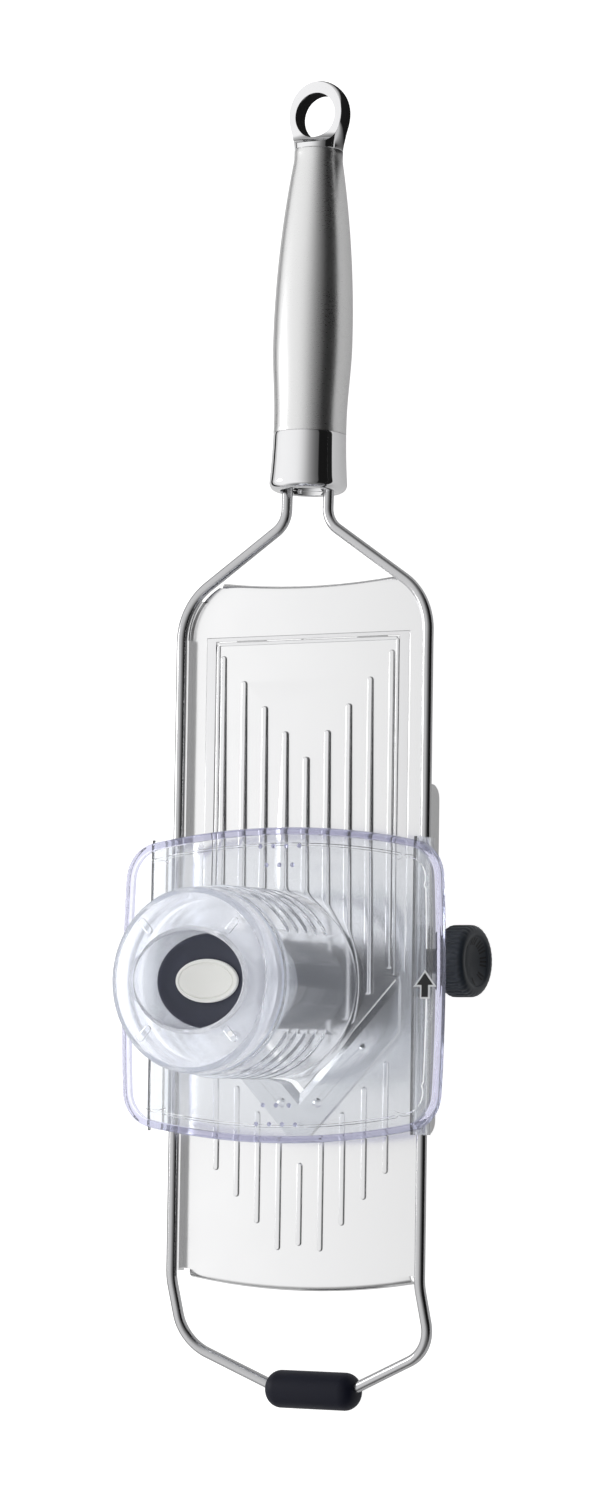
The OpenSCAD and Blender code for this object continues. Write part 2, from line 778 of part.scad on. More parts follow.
// Two ears under the bed that hold the hinge pin
module hinge_lugs() {
    color([0.8, 0.8, 0.82]) placed() both_sides() difference() {
        plate_x(lug_x, lug_t) {
            translate([hinge_y, hinge_z]) circle(knuckle_r);
            translate([hinge_y - knuckle_r, hinge_z]) square([2 * knuckle_r, bed_under - hinge_z]);
        }
        translate([lug_x - 1, hinge_y, hinge_z]) along_x() cylinder(h = lug_t + 2, r = hinge_pin_r);
    }
}

module hinge_pin() {
    half = lug_x + lug_t + pin_overhang;
    color("silver") placed() translate([-half, hinge_y, hinge_z]) along_x()
        cylinder(h = 2 * half, r = hinge_pin_r);
}

module ramp_outline() {
    polygon([
        [-ramp_x, ramp_top], [ramp_x, ramp_top],
        [ramp_x, ramp_apex + ramp_x * blade_slope], [0, ramp_apex], [-ramp_x, ramp_apex + ramp_x * blade_slope]
    ]);
}

module infeed_ramp() {
    side_low = cam_y + pad_len / 2 + 1;
    side_high = hinge_y - side_back;
    color([0.9, 0.9, 0.91]) placed() ramp_frame() union() {
        translate([0, 0, bed_under]) linear_extrude(sheet) ramp_outline();
        both_sides() translate([ramp_x - sheet, side_low, bed_under - ramp_flange])
            cube([sheet, side_high - side_low, ramp_flange + eps]);
        for (i = [-ribs:ribs])
            rib(i * rib_pitch, ramp_apex + abs(i) * rib_pitch * blade_slope + rib_start, infeed_rib_top + rib_step * abs(i));
    }
}

// Rolled knuckles that turn on the hinge pin
module ramp_knuckles() {
    color([0.8, 0.8, 0.82]) placed() ramp_frame() both_sides() difference() {
        translate([knuckle_x, 0, 0]) {
            translate([0, hinge_y, hinge_z]) along_x() cylinder(h = knuckle_len, r = knuckle_r);
            translate([0, hinge_y - knuckle_r, hinge_z]) cube([knuckle_len, knuckle_r + knuckle_lap, knuckle_r]);
        }
        translate([knuckle_x - 1, hinge_y, hinge_z]) along_x()
            cylinder(h = knuckle_len + 2, r = hinge_pin_r + run_clear);
    }
}

// Pads under the ramp that ride on the cams
module ramp_wear_pads() {
    color([0.25, 0.26, 0.3]) placed() ramp_frame() both_sides()
        translate([cam_x - 1, cam_y - pad_len / 2, bed_under - pad_t])
            cube([cam_w + 2, pad_len, pad_t]);
}

// Torsion spring that keeps the ramp down on its cams: a coil on the hinge pin with two legs
spring_r = 1.45;
spring_wire_r = 0.32;
spring_turns = 6;
spring_pitch = 1;
spring_leg = 9;
spring_half = spring_turns * spring_pitch / 2;
spring_steps = 12 * spring_turns + 3;
spring_end = spring_half + spring_pitch / 4;
spring_coil = [for (i = [0:spring_steps])
    [spring_pitch * i / 12 - spring_half, spring_r * cos(30 * i), -spring_r * sin(30 * i)]];
spring_path = concat(
    [[-spring_half, spring_r, 4 * spring_wire_r]],
    spring_coil,
    [[spring_end, -spring_leg, knuckle_r - spring_wire_r + eps]]
);

module ramp_spring() {
    color("dimgray") placed() ramp_frame() translate([0, hinge_y, hinge_z])
        bent_bar(spring_path, spring_wire_r, [1, 0, 0], 8);
}

// Radius of the snail cam at an angle from +Y to +Z, shrinking as the dial lowers the ramp
cam_first = 90 - dial_down;
cam_turn = dial_up + dial_down;
function cam_r(angle) = cam_max - cam_rise * (cam_first + cam_turn - angle);

module snail_cam() {
    steps = 18;
    low = cam_r(cam_first);
    spiral = [for (i = [0:steps]) let (a = cam_first + cam_turn * i / steps) cam_r(a) * [cos(a), sin(a)]];
    back = [for (i = [1:5]) let (a = cam_first + cam_turn + (360 - cam_turn) * i / 6) low * [cos(a), sin(a)]];
    plate_x(0, cam_w) polygon(concat(spiral, back));
}

module cam_shaft() {
    length = shaft_end + dial_x + shaft_in_dial;
    color("silver") placed() at_shaft() difference() {
        union() {
            translate([-shaft_end, 0, 0]) along_x() cylinder(h = length, r = shaft_r);
            translate([cam_x, 0, 0]) snail_cam();
            translate([-cam_x - cam_w, 0, 0]) snail_cam();
        }
        translate([-clip_x - clip_t, 0, 0]) along_x() difference() {
            cylinder(h = clip_t, r = shaft_r + 1);
            translate([0, 0, -1]) cylinder(h = clip_t + 2, r = shaft_r - groove_deep);
        }
    }
}

// Spring clip in the groove at the shaft's free end
module shaft_clip() {
    color("dimgray") placed() at_shaft() translate([-clip_x - clip_t, 0, 0]) difference() {
        along_x() cylinder(h = clip_t, r = 2 * shaft_r);
        translate([-1, 0, 0]) along_x() cylinder(h = clip_t + 2, r = shaft_r - groove_deep);
        translate([-1, -shaft_r + clip_lip, -3 * shaft_r]) cube([clip_t + 2, 2 * (shaft_r - clip_lip), 3 * shaft_r]);
    }
}

// Half section of the dial, radius in X and distance from its back in Y
module dial_section() {
    back_round = 1.4;
    front_round = 2.2;
    rim = 1.2;
    difference() {
        union() {
            square([dial_r - back_round, dial_t - front_round]);
            translate([0, back_round]) square([dial_r, dial_t - back_round - front_round]);
            translate([dial_r - back_round, back_round]) circle(back_round);
            translate([0, back_round]) square([dial_r - front_round, dial_t - back_round]);
            translate([dial_r - front_round, dial_t - front_round]) circle(front_round);
        }
        translate([0, dial_t + dish_up]) circle(dish_r);
        translate([-2 * over, -1]) square([2 * over, dial_t + 4]);
        translate([0, dial_t - rim + dish_step]) square([dial_r - dial_ring_w, rim]);
    }
}

module dial_knob() {
    color([0.2, 0.22, 0.26]) placed() at_shaft() difference() {
        union() {
            translate([dial_x, 0, 0]) along_x() rotate_extrude() dial_section();
            translate([hub_x, 0, 0]) along_x() cylinder(h = dial_x - hub_x + 1, r = hub_r);
        }
        for (i = [0:knurls - 1]) rotate([360 * i / knurls, 0, 0])
            translate([dial_x - 1, 0, dial_r + knurl_out]) along_x() cylinder(h = dial_t - knurl_stop, r = knurl_r, $fn = 24);
        translate([hub_x - 1, 0, 0]) along_x() cylinder(h = dial_x + shaft_in_dial - hub_x + 1, r = shaft_r);
        translate([(hub_x + dial_x) / 2, 0, -hub_r - 1]) cylinder(h = hub_r + 1, r = grub_r);
    }
}

module dial_grub_screw() {
    color("dimgray") placed() at_shaft() translate([(hub_x + dial_x) / 2, 0, 0]) difference() {
        translate([0, 0, -hub_r + grub_sink]) cylinder(h = hub_r - grub_sink - shaft_r + grub_bite, r = grub_r);
        translate([0, 0, -hub_r]) cylinder(h = hex_deep, r = hex_r, $fn = 6);
        translate([-over / 2, 0, 0]) along_x() cylinder(h = over, r = shaft_r);
    }
}

// Points of the guard's plan, moved inwards by inset: bowed sides and ends, round corners
function arc_points(centre, r, from, to, n) =
    [for (i = [0:n]) let (a = from + (to - from) * i / n) centre + r * [cos(a), sin(a)]];
function circle_cross(c1, r1, c2, r2) =
    let (d = c2 - c1, l = norm(d), a = (r1 * r1 - r2 * r2 + l * l) / (2 * l), h = sqrt(r1 * r1 - a * a))
    c1 + a * d / l + h * [-d[1], d[0]] / l;
function guard_quarter(inset) =
    let (
        side_c = [guard_a - guard_side_r, 0],
        end_c = [0, guard_b - guard_end_r],
        c = circle_cross(end_c, guard_end_r - guard_corner_r, side_c, guard_side_r - guard_corner_r),
        corner = c[0] > 0 ? c : circle_cross(side_c, guard_side_r - guard_corner_r, end_c, guard_end_r - guard_corner_r),
        to_side = atan2(corner[1] - side_c[1], corner[0] - side_c[0]),
        to_end = atan2(corner[1] - end_c[1], corner[0] - end_c[0])
    )
    concat(
        arc_points(side_c, guard_side_r - inset, 0, to_side, 4),
        arc_points(corner, guard_corner_r - inset, to_side + 8, to_end - 8, 7),
        arc_points(end_c, guard_end_r - inset, to_end, 90, 6)
    );
module guard_plan(inset) {
    quarter = guard_quarter(inset);
    n = len(quarter);
    polygon(concat(
        quarter,
        [for (i = [n - 2:-1:0]) [-quarter[i][0], quarter[i][1]]],
        [for (i = [1:n - 1]) [-quarter[i][0], -quarter[i][1]]],
        [for (i = [n - 2:-1:1]) [quarter[i][0], -quarter[i][1]]]
    ));
}

// Runner that rests on one rail and hugs its outer side
module guard_runner() {
    translate([0, runner_half, 0]) rotate([90, 0, 0]) linear_extrude(2 * runner_half) polygon([
        [rail_outer_x - runner_in, runner_z], [rail_outer_x, runner_z],
        [rail_outer_x, runner_drop], [rail_outer_x + runner_wall, runner_drop],
        [rail_outer_x + runner_wall, flange_z + eps], [rail_outer_x, flange_z + eps],
        [rail_outer_x, runner_z + runner_t], [rail_outer_x - runner_in, runner_z + runner_t]
    ]);
}

// Finger ridges on both ends of the column
module guard_ridges() {
    for (z = ridge_z, end = [0, 180]) translate([0, 0, z]) rotate([0, 0, end + ridge_from])
        rotate_extrude(angle = 180 - 2 * ridge_from)
            translate([column_r - ridge_lap, -ridge_h / 2]) square([ridge_out + ridge_lap, ridge_h]);
}

// Rows of small round nubs near both ends of the flange
module guard_nubs() {
    for (s = [-1, 1], row = nub_rows, k = [0:row[1] - 1])
        translate([(k - (row[1] - 1) / 2) * nub_pitch, s * row[0], guard_top - nub_sink]) sphere(nub_r, $fn = 24);
}

module guard_shell() {
    color([0.85, 0.88, 0.95, 0.5]) placed() difference() {
        union() {
            translate([0, 0, flange_z]) linear_extrude(guard_wall) guard_plan(0);
            translate([0, 0, rim_z]) linear_extrude(guard_rim) difference() {
                guard_plan(0);
                guard_plan(guard_wall);
            }
            translate([0, 0, flange_z]) cylinder(h = column_top - flange_z, r = column_r);
            both_sides() guard_runner();
            guard_ridges();
            guard_nubs();
        }
        translate([0, 0, flange_z - 1]) cylinder(h = column_top, r = column_r - guard_wall);
    }
}

module ellipse_plan(a, b) {
    polygon([for (i = [0:71]) [a * cos(5 * i), b * sin(5 * i)]]);
}

// The four capsule marks on the cap, set out on the right and the left
module cap_slots() {
    for (sx = [-1, 1], sy = [-1, 1]) translate([sx * slot_at[0], sy * slot_at[1], cap_top - slot_deep])
        rotate([0, 0, sx * sy * atan2(slot_at[1], slot_at[0])]) {
            half = (slot_len - slot_w) / 2;
            for (s = [-1, 1]) translate([s * half, 0, 0]) cylinder(h = slot_deep + 1, d = slot_w);
            translate([-half, -slot_w / 2, 0]) cube([2 * half, slot_w, slot_deep + 1]);
        }
}

module guard_cap() {
    well_a = well_w / 2;
    well_b = well_l / 2;
    inner_r = column_r - guard_wall;
    color([0.9, 0.92, 0.97, 0.5]) placed() difference() {
        union() {
            translate([0, 0, column_top]) rotate_extrude() difference() {
                union() {
                    square([cap_r, cap_h - cap_round]);
                    square([cap_r - cap_round, cap_h]);
                    intersection() {
                        translate([cap_r - cap_round, cap_h - cap_round]) circle(cap_round);
                        square([cap_r, cap_h]);
                    }
                }
                translate([0, -1]) square([cap_r - guard_wall, cap_h - guard_wall + 1]);
            }
            translate([0, 0, column_top - spigot_h]) difference() {
                cylinder(h = spigot_h + guard_wall, r = inner_r);
                translate([0, 0, -1]) cylinder(h = spigot_h + guard_wall + 2, r = inner_r - guard_wall);
            }
            translate([0, 0, guide_z]) linear_extrude(cap_top - guide_z - 1)
                ellipse_plan(well_a + sleeve_t, well_b + sleeve_t);
        }
        translate([0, 0, ledge_z]) linear_extrude(cap_top) ellipse_plan(well_a, well_b);
        translate([0, 0, guide_z - 1]) linear_extrude(cap_top)
            ellipse_plan(well_a - guide_step, well_b - guide_step);
        cap_slots();
        translate([slot_at[0], -slot_at[1], cap_top - cap_screw_len]) cylinder(h = cap_screw_len + 1, r = cap_screw_r);
    }
}

module cap_screw() {
    color("silver") placed() translate([slot_at[0], -slot_at[1], cap_top - cap_screw_len]) cylinder(h = cap_screw_len - cap_screw_sink, r = cap_screw_r);
}

// Arrow that points at the infeed end, drawn on the flange
module direction_arrow() {
    head = arrow_l * 0.5;
    tail_w = arrow_w * 0.4;
    color([0.05, 0.05, 0.06]) placed() translate([arrow_x, -arrow_l / 2, guard_top]) linear_extrude(arrow_t)
        polygon([
            [-tail_w / 2, 0], [tail_w / 2, 0], [tail_w / 2, arrow_l - head], [arrow_w / 2, arrow_l - head],
            [0, arrow_l], [-arrow_w / 2, arrow_l - head], [-tail_w / 2, arrow_l - head]
        ]);
}

// Half axes of the stem, guided by the lower part of the well
stem_a = well_w / 2 - guide_step - push_clear;
stem_b = well_l / 2 - guide_step - push_clear;
stem_top = ledge_z + push_clear;
stem_low = plate_z + plate_t;

module pusher_stem() {
    color([0.25, 0.26, 0.32]) placed() difference() {
        union() {
            difference() {
                translate([0, 0, stem_low]) linear_extrude(stem_top - stem_low) ellipse_plan(stem_a, stem_b);
                translate([0, 0, stem_low - 1]) linear_extrude(stem_top - stem_low + 1 - stem_wall)
                    ellipse_plan(stem_a - stem_wall, stem_b - stem_wall);
            }
            translate([0, 0, stem_low]) cylinder(h = stem_top - stem_low - 1, r = boss_r);
        }
        translate([0, 0, stem_low - 1]) cylinder(h = screw_len - plate_t + 1, r = screw_r);
    }
}

module pusher_top() {
    color([0.26, 0.27, 0.31]) placed() translate([0, 0, stem_top]) linear_extrude(push_top - stem_top)
        ellipse_plan(well_w / 2 - push_clear, well_l / 2 - push_clear);
}

module pusher_badge() {
    color([0.93, 0.93, 0.9]) placed() translate([0, 0, push_top]) linear_extrude(badge_t)
        ellipse_plan(badge_a, badge_b);
}

// Places of the spikes on the plate, in two rings that follow its oval
spike_ring = [for (i = [0:9]) [spikes_outer * stem_a * cos(36 * i), spikes_outer * stem_b * sin(36 * i)]];
spike_inner = [for (i = [0:3]) [spikes_inner * stem_a * cos(90 * i + 45), (spikes_inner + 0.04) * stem_b * sin(90 * i + 45)]];
spike_places = concat(spike_ring, spike_inner);

module spike_plate() {
    color([0.25, 0.26, 0.32]) placed() difference() {
        translate([0, 0, plate_z]) linear_extrude(plate_t) ellipse_plan(stem_a, stem_b);
        for (p = spike_places) translate([p[0], p[1], plate_z - 1]) cylinder(h = plate_t, r = spike_r, $fn = 24);
        translate([0, 0, plate_z - 1]) cylinder(h = plate_t + 2, r = screw_r);
    }
}

module food_spikes() {
    color("silver") placed() for (p = spike_places) translate([p[0], p[1], 0]) {
        translate([0, 0, spike_tip + spike_point])
            cylinder(h = plate_z + plate_t - 1 - spike_tip - spike_point, r = spike_r, $fn = 24);
        translate([0, 0, spike_tip]) cylinder(h = spike_point, r1 = spike_tip_r, r2 = spike_r, $fn = 24);
    }
}

module pusher_screw() {
    color("silver") placed() difference() {
        union() {
            translate([0, 0, plate_z]) cylinder(h = screw_len, r = screw_r);
            translate([0, 0, plate_z - screw_head_h]) cylinder(h = screw_head_h, r = screw_head_r);
        }
        translate([-cross_w / 2, -over / 2, plate_z - screw_head_h - 1]) cube([cross_w, over, cross_deep + 1]);
        translate([-over / 2, -cross_w / 2, plate_z - screw_head_h - 1]) cube([over, cross_w, cross_deep + 1]);
    }
}

frame_wire();
foot_grip();
ferrule();
handle_body();
hanging_eye();
bed();
v_blade();
blade_rivets();
side_plate_left();
side_plate_right();
shaft_bush_left();
shaft_bush_right();
friction_washer();
hinge_lugs();
hinge_pin();
infeed_ramp();
ramp_knuckles();
ramp_wear_pads();
ramp_spring();
cam_shaft();
shaft_clip();
dial_knob();
dial_grub_screw();
guard_shell();
guard_cap();
cap_screw();
direction_arrow();
pusher_stem();
pusher_top();
pusher_badge();
spike_plate();
food_spikes();
pusher_screw();
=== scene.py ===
# %% [markdown]
# # A hand-held mandoline slicer
# A bent steel wire carries a thin ribbed steel bed with a V blade. A clear plastic food guard slides on
# the wires, with a dark plunger in its column, and a dial at the side sets how deep the ramp sits.
# The CAD model is loaded first and is never moved. Each later cell dresses it or builds a finer mesh
# in the same place, so the two always agree.

# %% Load the frame
import math

import bmesh
import bpy
from mathutils import Matrix, Vector


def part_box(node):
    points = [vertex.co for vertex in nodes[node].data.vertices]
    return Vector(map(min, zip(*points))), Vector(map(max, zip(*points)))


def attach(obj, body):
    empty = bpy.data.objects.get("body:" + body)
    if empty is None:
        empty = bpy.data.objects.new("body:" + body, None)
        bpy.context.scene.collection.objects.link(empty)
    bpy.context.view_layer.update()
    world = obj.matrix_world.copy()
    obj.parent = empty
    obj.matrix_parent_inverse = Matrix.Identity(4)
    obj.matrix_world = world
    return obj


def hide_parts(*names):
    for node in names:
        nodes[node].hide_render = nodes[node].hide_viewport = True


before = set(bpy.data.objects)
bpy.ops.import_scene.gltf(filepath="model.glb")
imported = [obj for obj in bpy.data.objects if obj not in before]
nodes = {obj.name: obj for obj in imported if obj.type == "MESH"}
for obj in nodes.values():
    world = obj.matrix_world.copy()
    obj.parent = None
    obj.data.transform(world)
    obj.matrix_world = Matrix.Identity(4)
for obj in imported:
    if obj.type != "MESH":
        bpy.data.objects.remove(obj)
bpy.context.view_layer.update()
MM = 0.001
print("nodes in the frame:", len(nodes))

# %% [markdown]
# ## One set of axes for the whole slicer
# The slicer's makers would measure from the wires: height from the middle of the two straight rails, and
# distance along them from where the guard is parked. The guard is symmetric, so its box gives that point.
# The handle leans back a little and the foot drops steeply, so each gets its own turned axes.

# %% Datum and turned axes
guard_low, guard_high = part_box("guard_shell")
RUNNER_DROP = 0.3 * MM
guard_middle = (guard_low + guard_high) / 2
datum = Vector((guard_middle.x, guard_middle.y, guard_low.z + RUNNER_DROP))


def at(x, y, z):
    """A place measured in millimetres from the rails, as a point of the frame in metres."""
    return datum + Vector((x, y, z)) * MM


def turned(angle, pivot):
    """Axes turned about an X line through a pivot given in millimetres."""
    spot = at(*pivot)
    return Matrix.Translation(spot) @ Matrix.Rotation(math.radians(angle), 4, "X") @ Matrix.Translation(-spot)


HANDLE_TILT, RAIL_TOP, NECK_BEND = 1.85, 105.0, 100.0
FOOT_TILT, RAIL_BOTTOM, FOOT_BEND = 21.0, 88.3, 12.0
handle_axes = turned(-HANDLE_TILT, (0, RAIL_TOP, -NECK_BEND))
foot_axes = turned(FOOT_TILT, (0, -RAIL_BOTTOM, -FOOT_BEND))
print("datum", [round(v, 5) for v in datum])

# %% [markdown]
# ## Camera
# Product pictures of long tools are taken from far away with a long lens, so that the far end isn't
# small. This one stands to the right of the slicer and well above it, with the handle at the top.

# %% Camera
camera_data = bpy.data.cameras.new("view_camera")
camera_data.lens = 120
camera_data.sensor_width = 36
camera_data.clip_end = 20
camera = bpy.data.objects.new("view_camera", camera_data)
bpy.context.scene.collection.objects.link(camera)
bpy.context.scene.camera = camera
CAMERA_AT = (788.5, -38.9, 1336.7)
right = Vector((0.86160, 0.01498, -0.50738))
up = Vector((0.02296, 0.99739, 0.06844))
toward = Vector((0.50709, -0.07062, 0.85900))
facing = Matrix((right, up, toward)).transposed().to_4x4()
camera.matrix_world = Matrix.Translation(at(*CAMERA_AT)) @ facing
print("camera at", [round(v, 3) for v in camera.location])

# %% [markdown]
# ## Writing shaders as sums
# A finish is a small calculation: some noise, a curve, a mix. The class below wraps one output of a node,
# so that `0.3 + 0.1 * noise` adds the Math nodes by itself. One method makes every other node: it takes
# the type, then the settings, then what goes into the sockets.

# %% Shader helpers
class Signal:
    """One output of a shader node that can be used in sums."""

    def __init__(self, graph, output):
        self.graph, self.output = graph, output

    def _sum(self, operation, first, second):
        return self.graph.node("ShaderNodeMath", {"operation": operation}, {0: first, 1: second})

    def __add__(self, other):
        return self._sum("ADD", self, other)

    def __radd__(self, other):
        return self._sum("ADD", other, self)

    def __sub__(self, other):
        return self._sum("SUBTRACT", self, other)

    def __rsub__(self, other):
        return self._sum("SUBTRACT", other, self)

    def __mul__(self, other):
        return self._sum("MULTIPLY", self, other)

    def __rmul__(self, other):
        return self._sum("MULTIPLY", other, self)


class Graph:
    """The node tree of one material or world."""

    def __init__(self, tree):
        self.tree = tree
        tree.nodes.clear()

    def node(self, kind, settings=None, sockets=None, output=0):
        made = self.tree.nodes.new(kind)
        for name, value in (settings or {}).items():
            if name == "stops":
                ramp = made.color_ramp.elements
                while len(ramp) < len(value):
                    ramp.new(1)
                for element, (place, colour) in zip(ramp, value):
                    element.position, element.color = place, colour
            else:
                setattr(made, name, value)
        for name, value in (sockets or {}).items():
            if isinstance(value, Signal):
                self.tree.links.new(value.output, made.inputs[name])
            else:
                made.inputs[name].default_value = value
        return Signal(self, made.outputs[output]) if len(made.outputs) else made


def grey(v):
    return (v, v, v, 1)


def finish_graph(name):
    """An empty material and its graph."""
    material = bpy.data.materials.new(name)
    material.use_nodes = True
    return material, Graph(material.node_tree)


def coat(graph, sockets):
    """The principled surface that every finish of the slicer ends in."""
    shader = graph.node("ShaderNodeBsdfPrincipled", None, sockets)
    graph.node("ShaderNodeOutputMaterial", None, {"Surface": shader})


def grain(graph, stretch, scale, detail=3.0):
    """Noise in the object's own metres, stretched along its axes: long scratches or even grain."""
    place = graph.node("ShaderNodeTexCoord", output=3)
    pulled = graph.node("ShaderNodeMapping", None, {"Vector": place, "Scale": stretch})
    return graph.node("ShaderNodeTexNoise", None, {"Vector": pulled, "Scale": scale, "Detail": detail})


def relief(graph, height, depth, strength=1.0):
    return graph.node("ShaderNodeBump", None, {"Height": height, "Distance": depth, "Strength": strength})


def between(graph, factor, low, high):
    """A colour that runs from low to high with the factor."""
    return graph.node("ShaderNodeMix", {"data_type": "RGBA"}, {"Factor": factor, 6: low, 7: high}, output=2)

# %% [markdown]
# ## Steel finishes
# Every bright part is stainless steel, but each is finished in its own way. Drawn wire has faint lines
# along it, the handle is brushed round and round, the collar and the eye are mirror-polished, and the
# bed is rolled sheet. One function covers them: a colour, a roughness, and noise pulled along the work.

# %% Steel
def steel(name, tone, roughness, stretch, scale, wander, depth, painted_shade=0.0):
    """Stainless steel; the last argument is how much darker the base colour is painted towards the right-hand
    side: a painted shade.
    """
    material, g = finish_graph(name)
    scratches = grain(g, stretch, scale, 4)
    clouds = grain(g, (1, 1, 1), 60, 2)
    place = g.node("ShaderNodeTexCoord", output=3)
    side = g.node("ShaderNodeSeparateXYZ", None, {0: place})
    across = g.node("ShaderNodeMapRange", None, {"Value": side, "From Min": -0.045, "From Max": 0.045})
    dim = tuple(0.94 * c for c in tone)
    # The colour the sheet is painted at its right-hand side, as if less light fell there: painted shade.
    painted_shade_tone = tuple((1 - painted_shade) * c for c in tone)
    worked = between(g, clouds, (*dim, 1), (*tone, 1))
    coat(g, {
        "Base Color": between(g, across, worked, (*painted_shade_tone, 1)) if painted_shade else worked,
        "Metallic": 1.0,
        "Roughness": roughness + wander * (scratches - 0.5) + 0.3 * wander * (clouds - 0.5),
        "Normal": relief(g, scratches, depth),
    })
    return material


wire_steel = steel("drawn_wire", (0.54, 0.54, 0.55), 0.17, (1, 0.03, 1), 4000, 0.10, 0.00001)
satin_steel = steel("satin_steel", (0.80, 0.80, 0.80), 0.30, (0.2, 1, 0.2), 5000, 0.16, 0.00002)
polished_steel = steel("polished_steel", (0.86, 0.86, 0.87), 0.045, (1, 1, 1), 900, 0.03, 0.0)
# The rolled sheet and its pressed ribs get a painted shade: their base colour is darker towards the right.
bed_steel = steel("rolled_sheet", (0.94, 0.94, 0.945), 0.22, (1, 0.05, 1), 2500, 0.10, 0.000003, 0.20)
rib_steel = steel("pressed_ribs", (0.84, 0.84, 0.85), 0.17, (1, 0.05, 1), 2500, 0.06, 0.000002, 0.15)
blade_steel = steel("ground_blade", (0.72, 0.73, 0.75), 0.22, (1, 0.1, 1), 5000, 0.15, 0.00001)
small_steel = steel("turned_steel", (0.62, 0.62, 0.64), 0.28, (1, 1, 1), 2500, 0.15, 0.00001)
print("steels made")

# %% [markdown]
# ## Plastics and rubber
# The dark parts are moulded: a fine spark-eroded grain breaks up the gloss, and handled edges are a
# little smoother. The clear guard is polycarbonate, with a faint violet-blue tint where light travels a
# long way inside it, and its column and cap are lightly frosted. The frosted parts also glow faintly
# bluish-white: a painted glow that brightens them.

# %% Moulded plastics
def moulded(name, tone, roughness, scale, depth, tint=1.35, shine=0.5):
    """Opaque moulded plastic or rubber with an even fine grain."""
    material, g = finish_graph(name)
    pits = grain(g, (1, 1, 1), scale, 2)
    patches = grain(g, (1, 1, 1), 90, 3)
    pale = tuple(min(1, tint * c) for c in tone)
    coat(g, {
        "Base Color": between(g, patches, (*tone, 1), (*pale, 1)),
        "Roughness": roughness + 0.18 * (patches - 0.5) + 0.1 * (pits - 0.5),
        "Specular IOR Level": shine,
        "Normal": relief(g, pits, depth),
    })
    return material


def clear(name, tone, edge_tone, roughness, frost, depth, painted_glow):
    """See-through polycarbonate; values on the mesh say where it is frosted and where it is an edge; frosted
    parts get a painted glow.
    """
    material, g = finish_graph(name)
    ripple = grain(g, (1, 1, 1), 120, 2)
    frosted = g.node("ShaderNodeAttribute", {"attribute_name": "frost"}, output=2)
    edge = g.node("ShaderNodeAttribute", {"attribute_name": "edge"}, output=2)
    coat(g, {
        "Base Color": between(g, edge, (*tone, 1), (*edge_tone, 1)),
        "Roughness": roughness + frost * frosted + 0.03 * ripple,
        # Frosted parts emit a faint bluish-white light: a painted glow that brightens them.
        "Emission Color": between(g, frosted, grey(0.0), (0.80, 0.84, 0.95, 1)),
        "Emission Strength": painted_glow,
        "Transmission Weight": 0.95,
        "IOR": 1.20,
        "Coat Weight": 0.4,
        "Coat Roughness": 0.04,
        "Normal": relief(g, ripple, depth),
    })
    return material


dial_plastic = moulded("dial_plastic", (0.026, 0.034, 0.046), 0.36, 6000, 0.00001)
pusher_plastic = moulded("pusher_plastic", (0.014, 0.016, 0.024), 0.45, 5000, 0.00001)
soft_insert = moulded("soft_insert", (0.040, 0.043, 0.062), 0.62, 7000, 0.00001, shine=0.35)
bearing_plastic = moulded("bearing_plastic", (0.05, 0.055, 0.065), 0.5, 4000, 0.00001)
grip_rubber = moulded("grip_rubber", (0.004, 0.005, 0.014), 0.50, 5000, 0.00001, shine=0.22)
badge_plastic = moulded("badge_plastic", (0.86, 0.86, 0.82), 0.35, 3000, 0.000005, 1.05)
black_print = moulded("black_print", (0.006, 0.006, 0.007), 0.5, 3000, 0.000005)
white_print = moulded("white_print", (0.85, 0.86, 0.88), 0.5, 3000, 0.000005, 1.05)
clear_plastic = clear("clear_plastic", (0.945, 0.957, 0.975), (0.62, 0.62, 0.76), 0.0, 0.10, 0.00004, 0.04)
frosted_plastic = clear("frosted_plastic", (0.972, 0.976, 0.99), (0.8, 0.82, 0.9), 0.08, 0.12, 0.00002, 0.07)
print("plastics made")

# %% [markdown]
# ## Studio
# Polished steel shows the room, so the room matters more than the lamps. A white tent surrounds the
# slicer, and one long dark card stands at its right: that card is the crisp dark band on the collar.
# The world carries both. Only what is seen in reflection gets the card, and the backdrop stays white.

# %% World
def direct_view(g):
    """1 for what the eye sees directly or through clear plastic, 0 for what a surface mirrors."""
    plain = g.node("ShaderNodeLightPath", output=0)
    through = g.node("ShaderNodeLightPath", output=6)
    return g.node("ShaderNodeMath", {"operation": "MAXIMUM"}, {0: plain, 1: through})


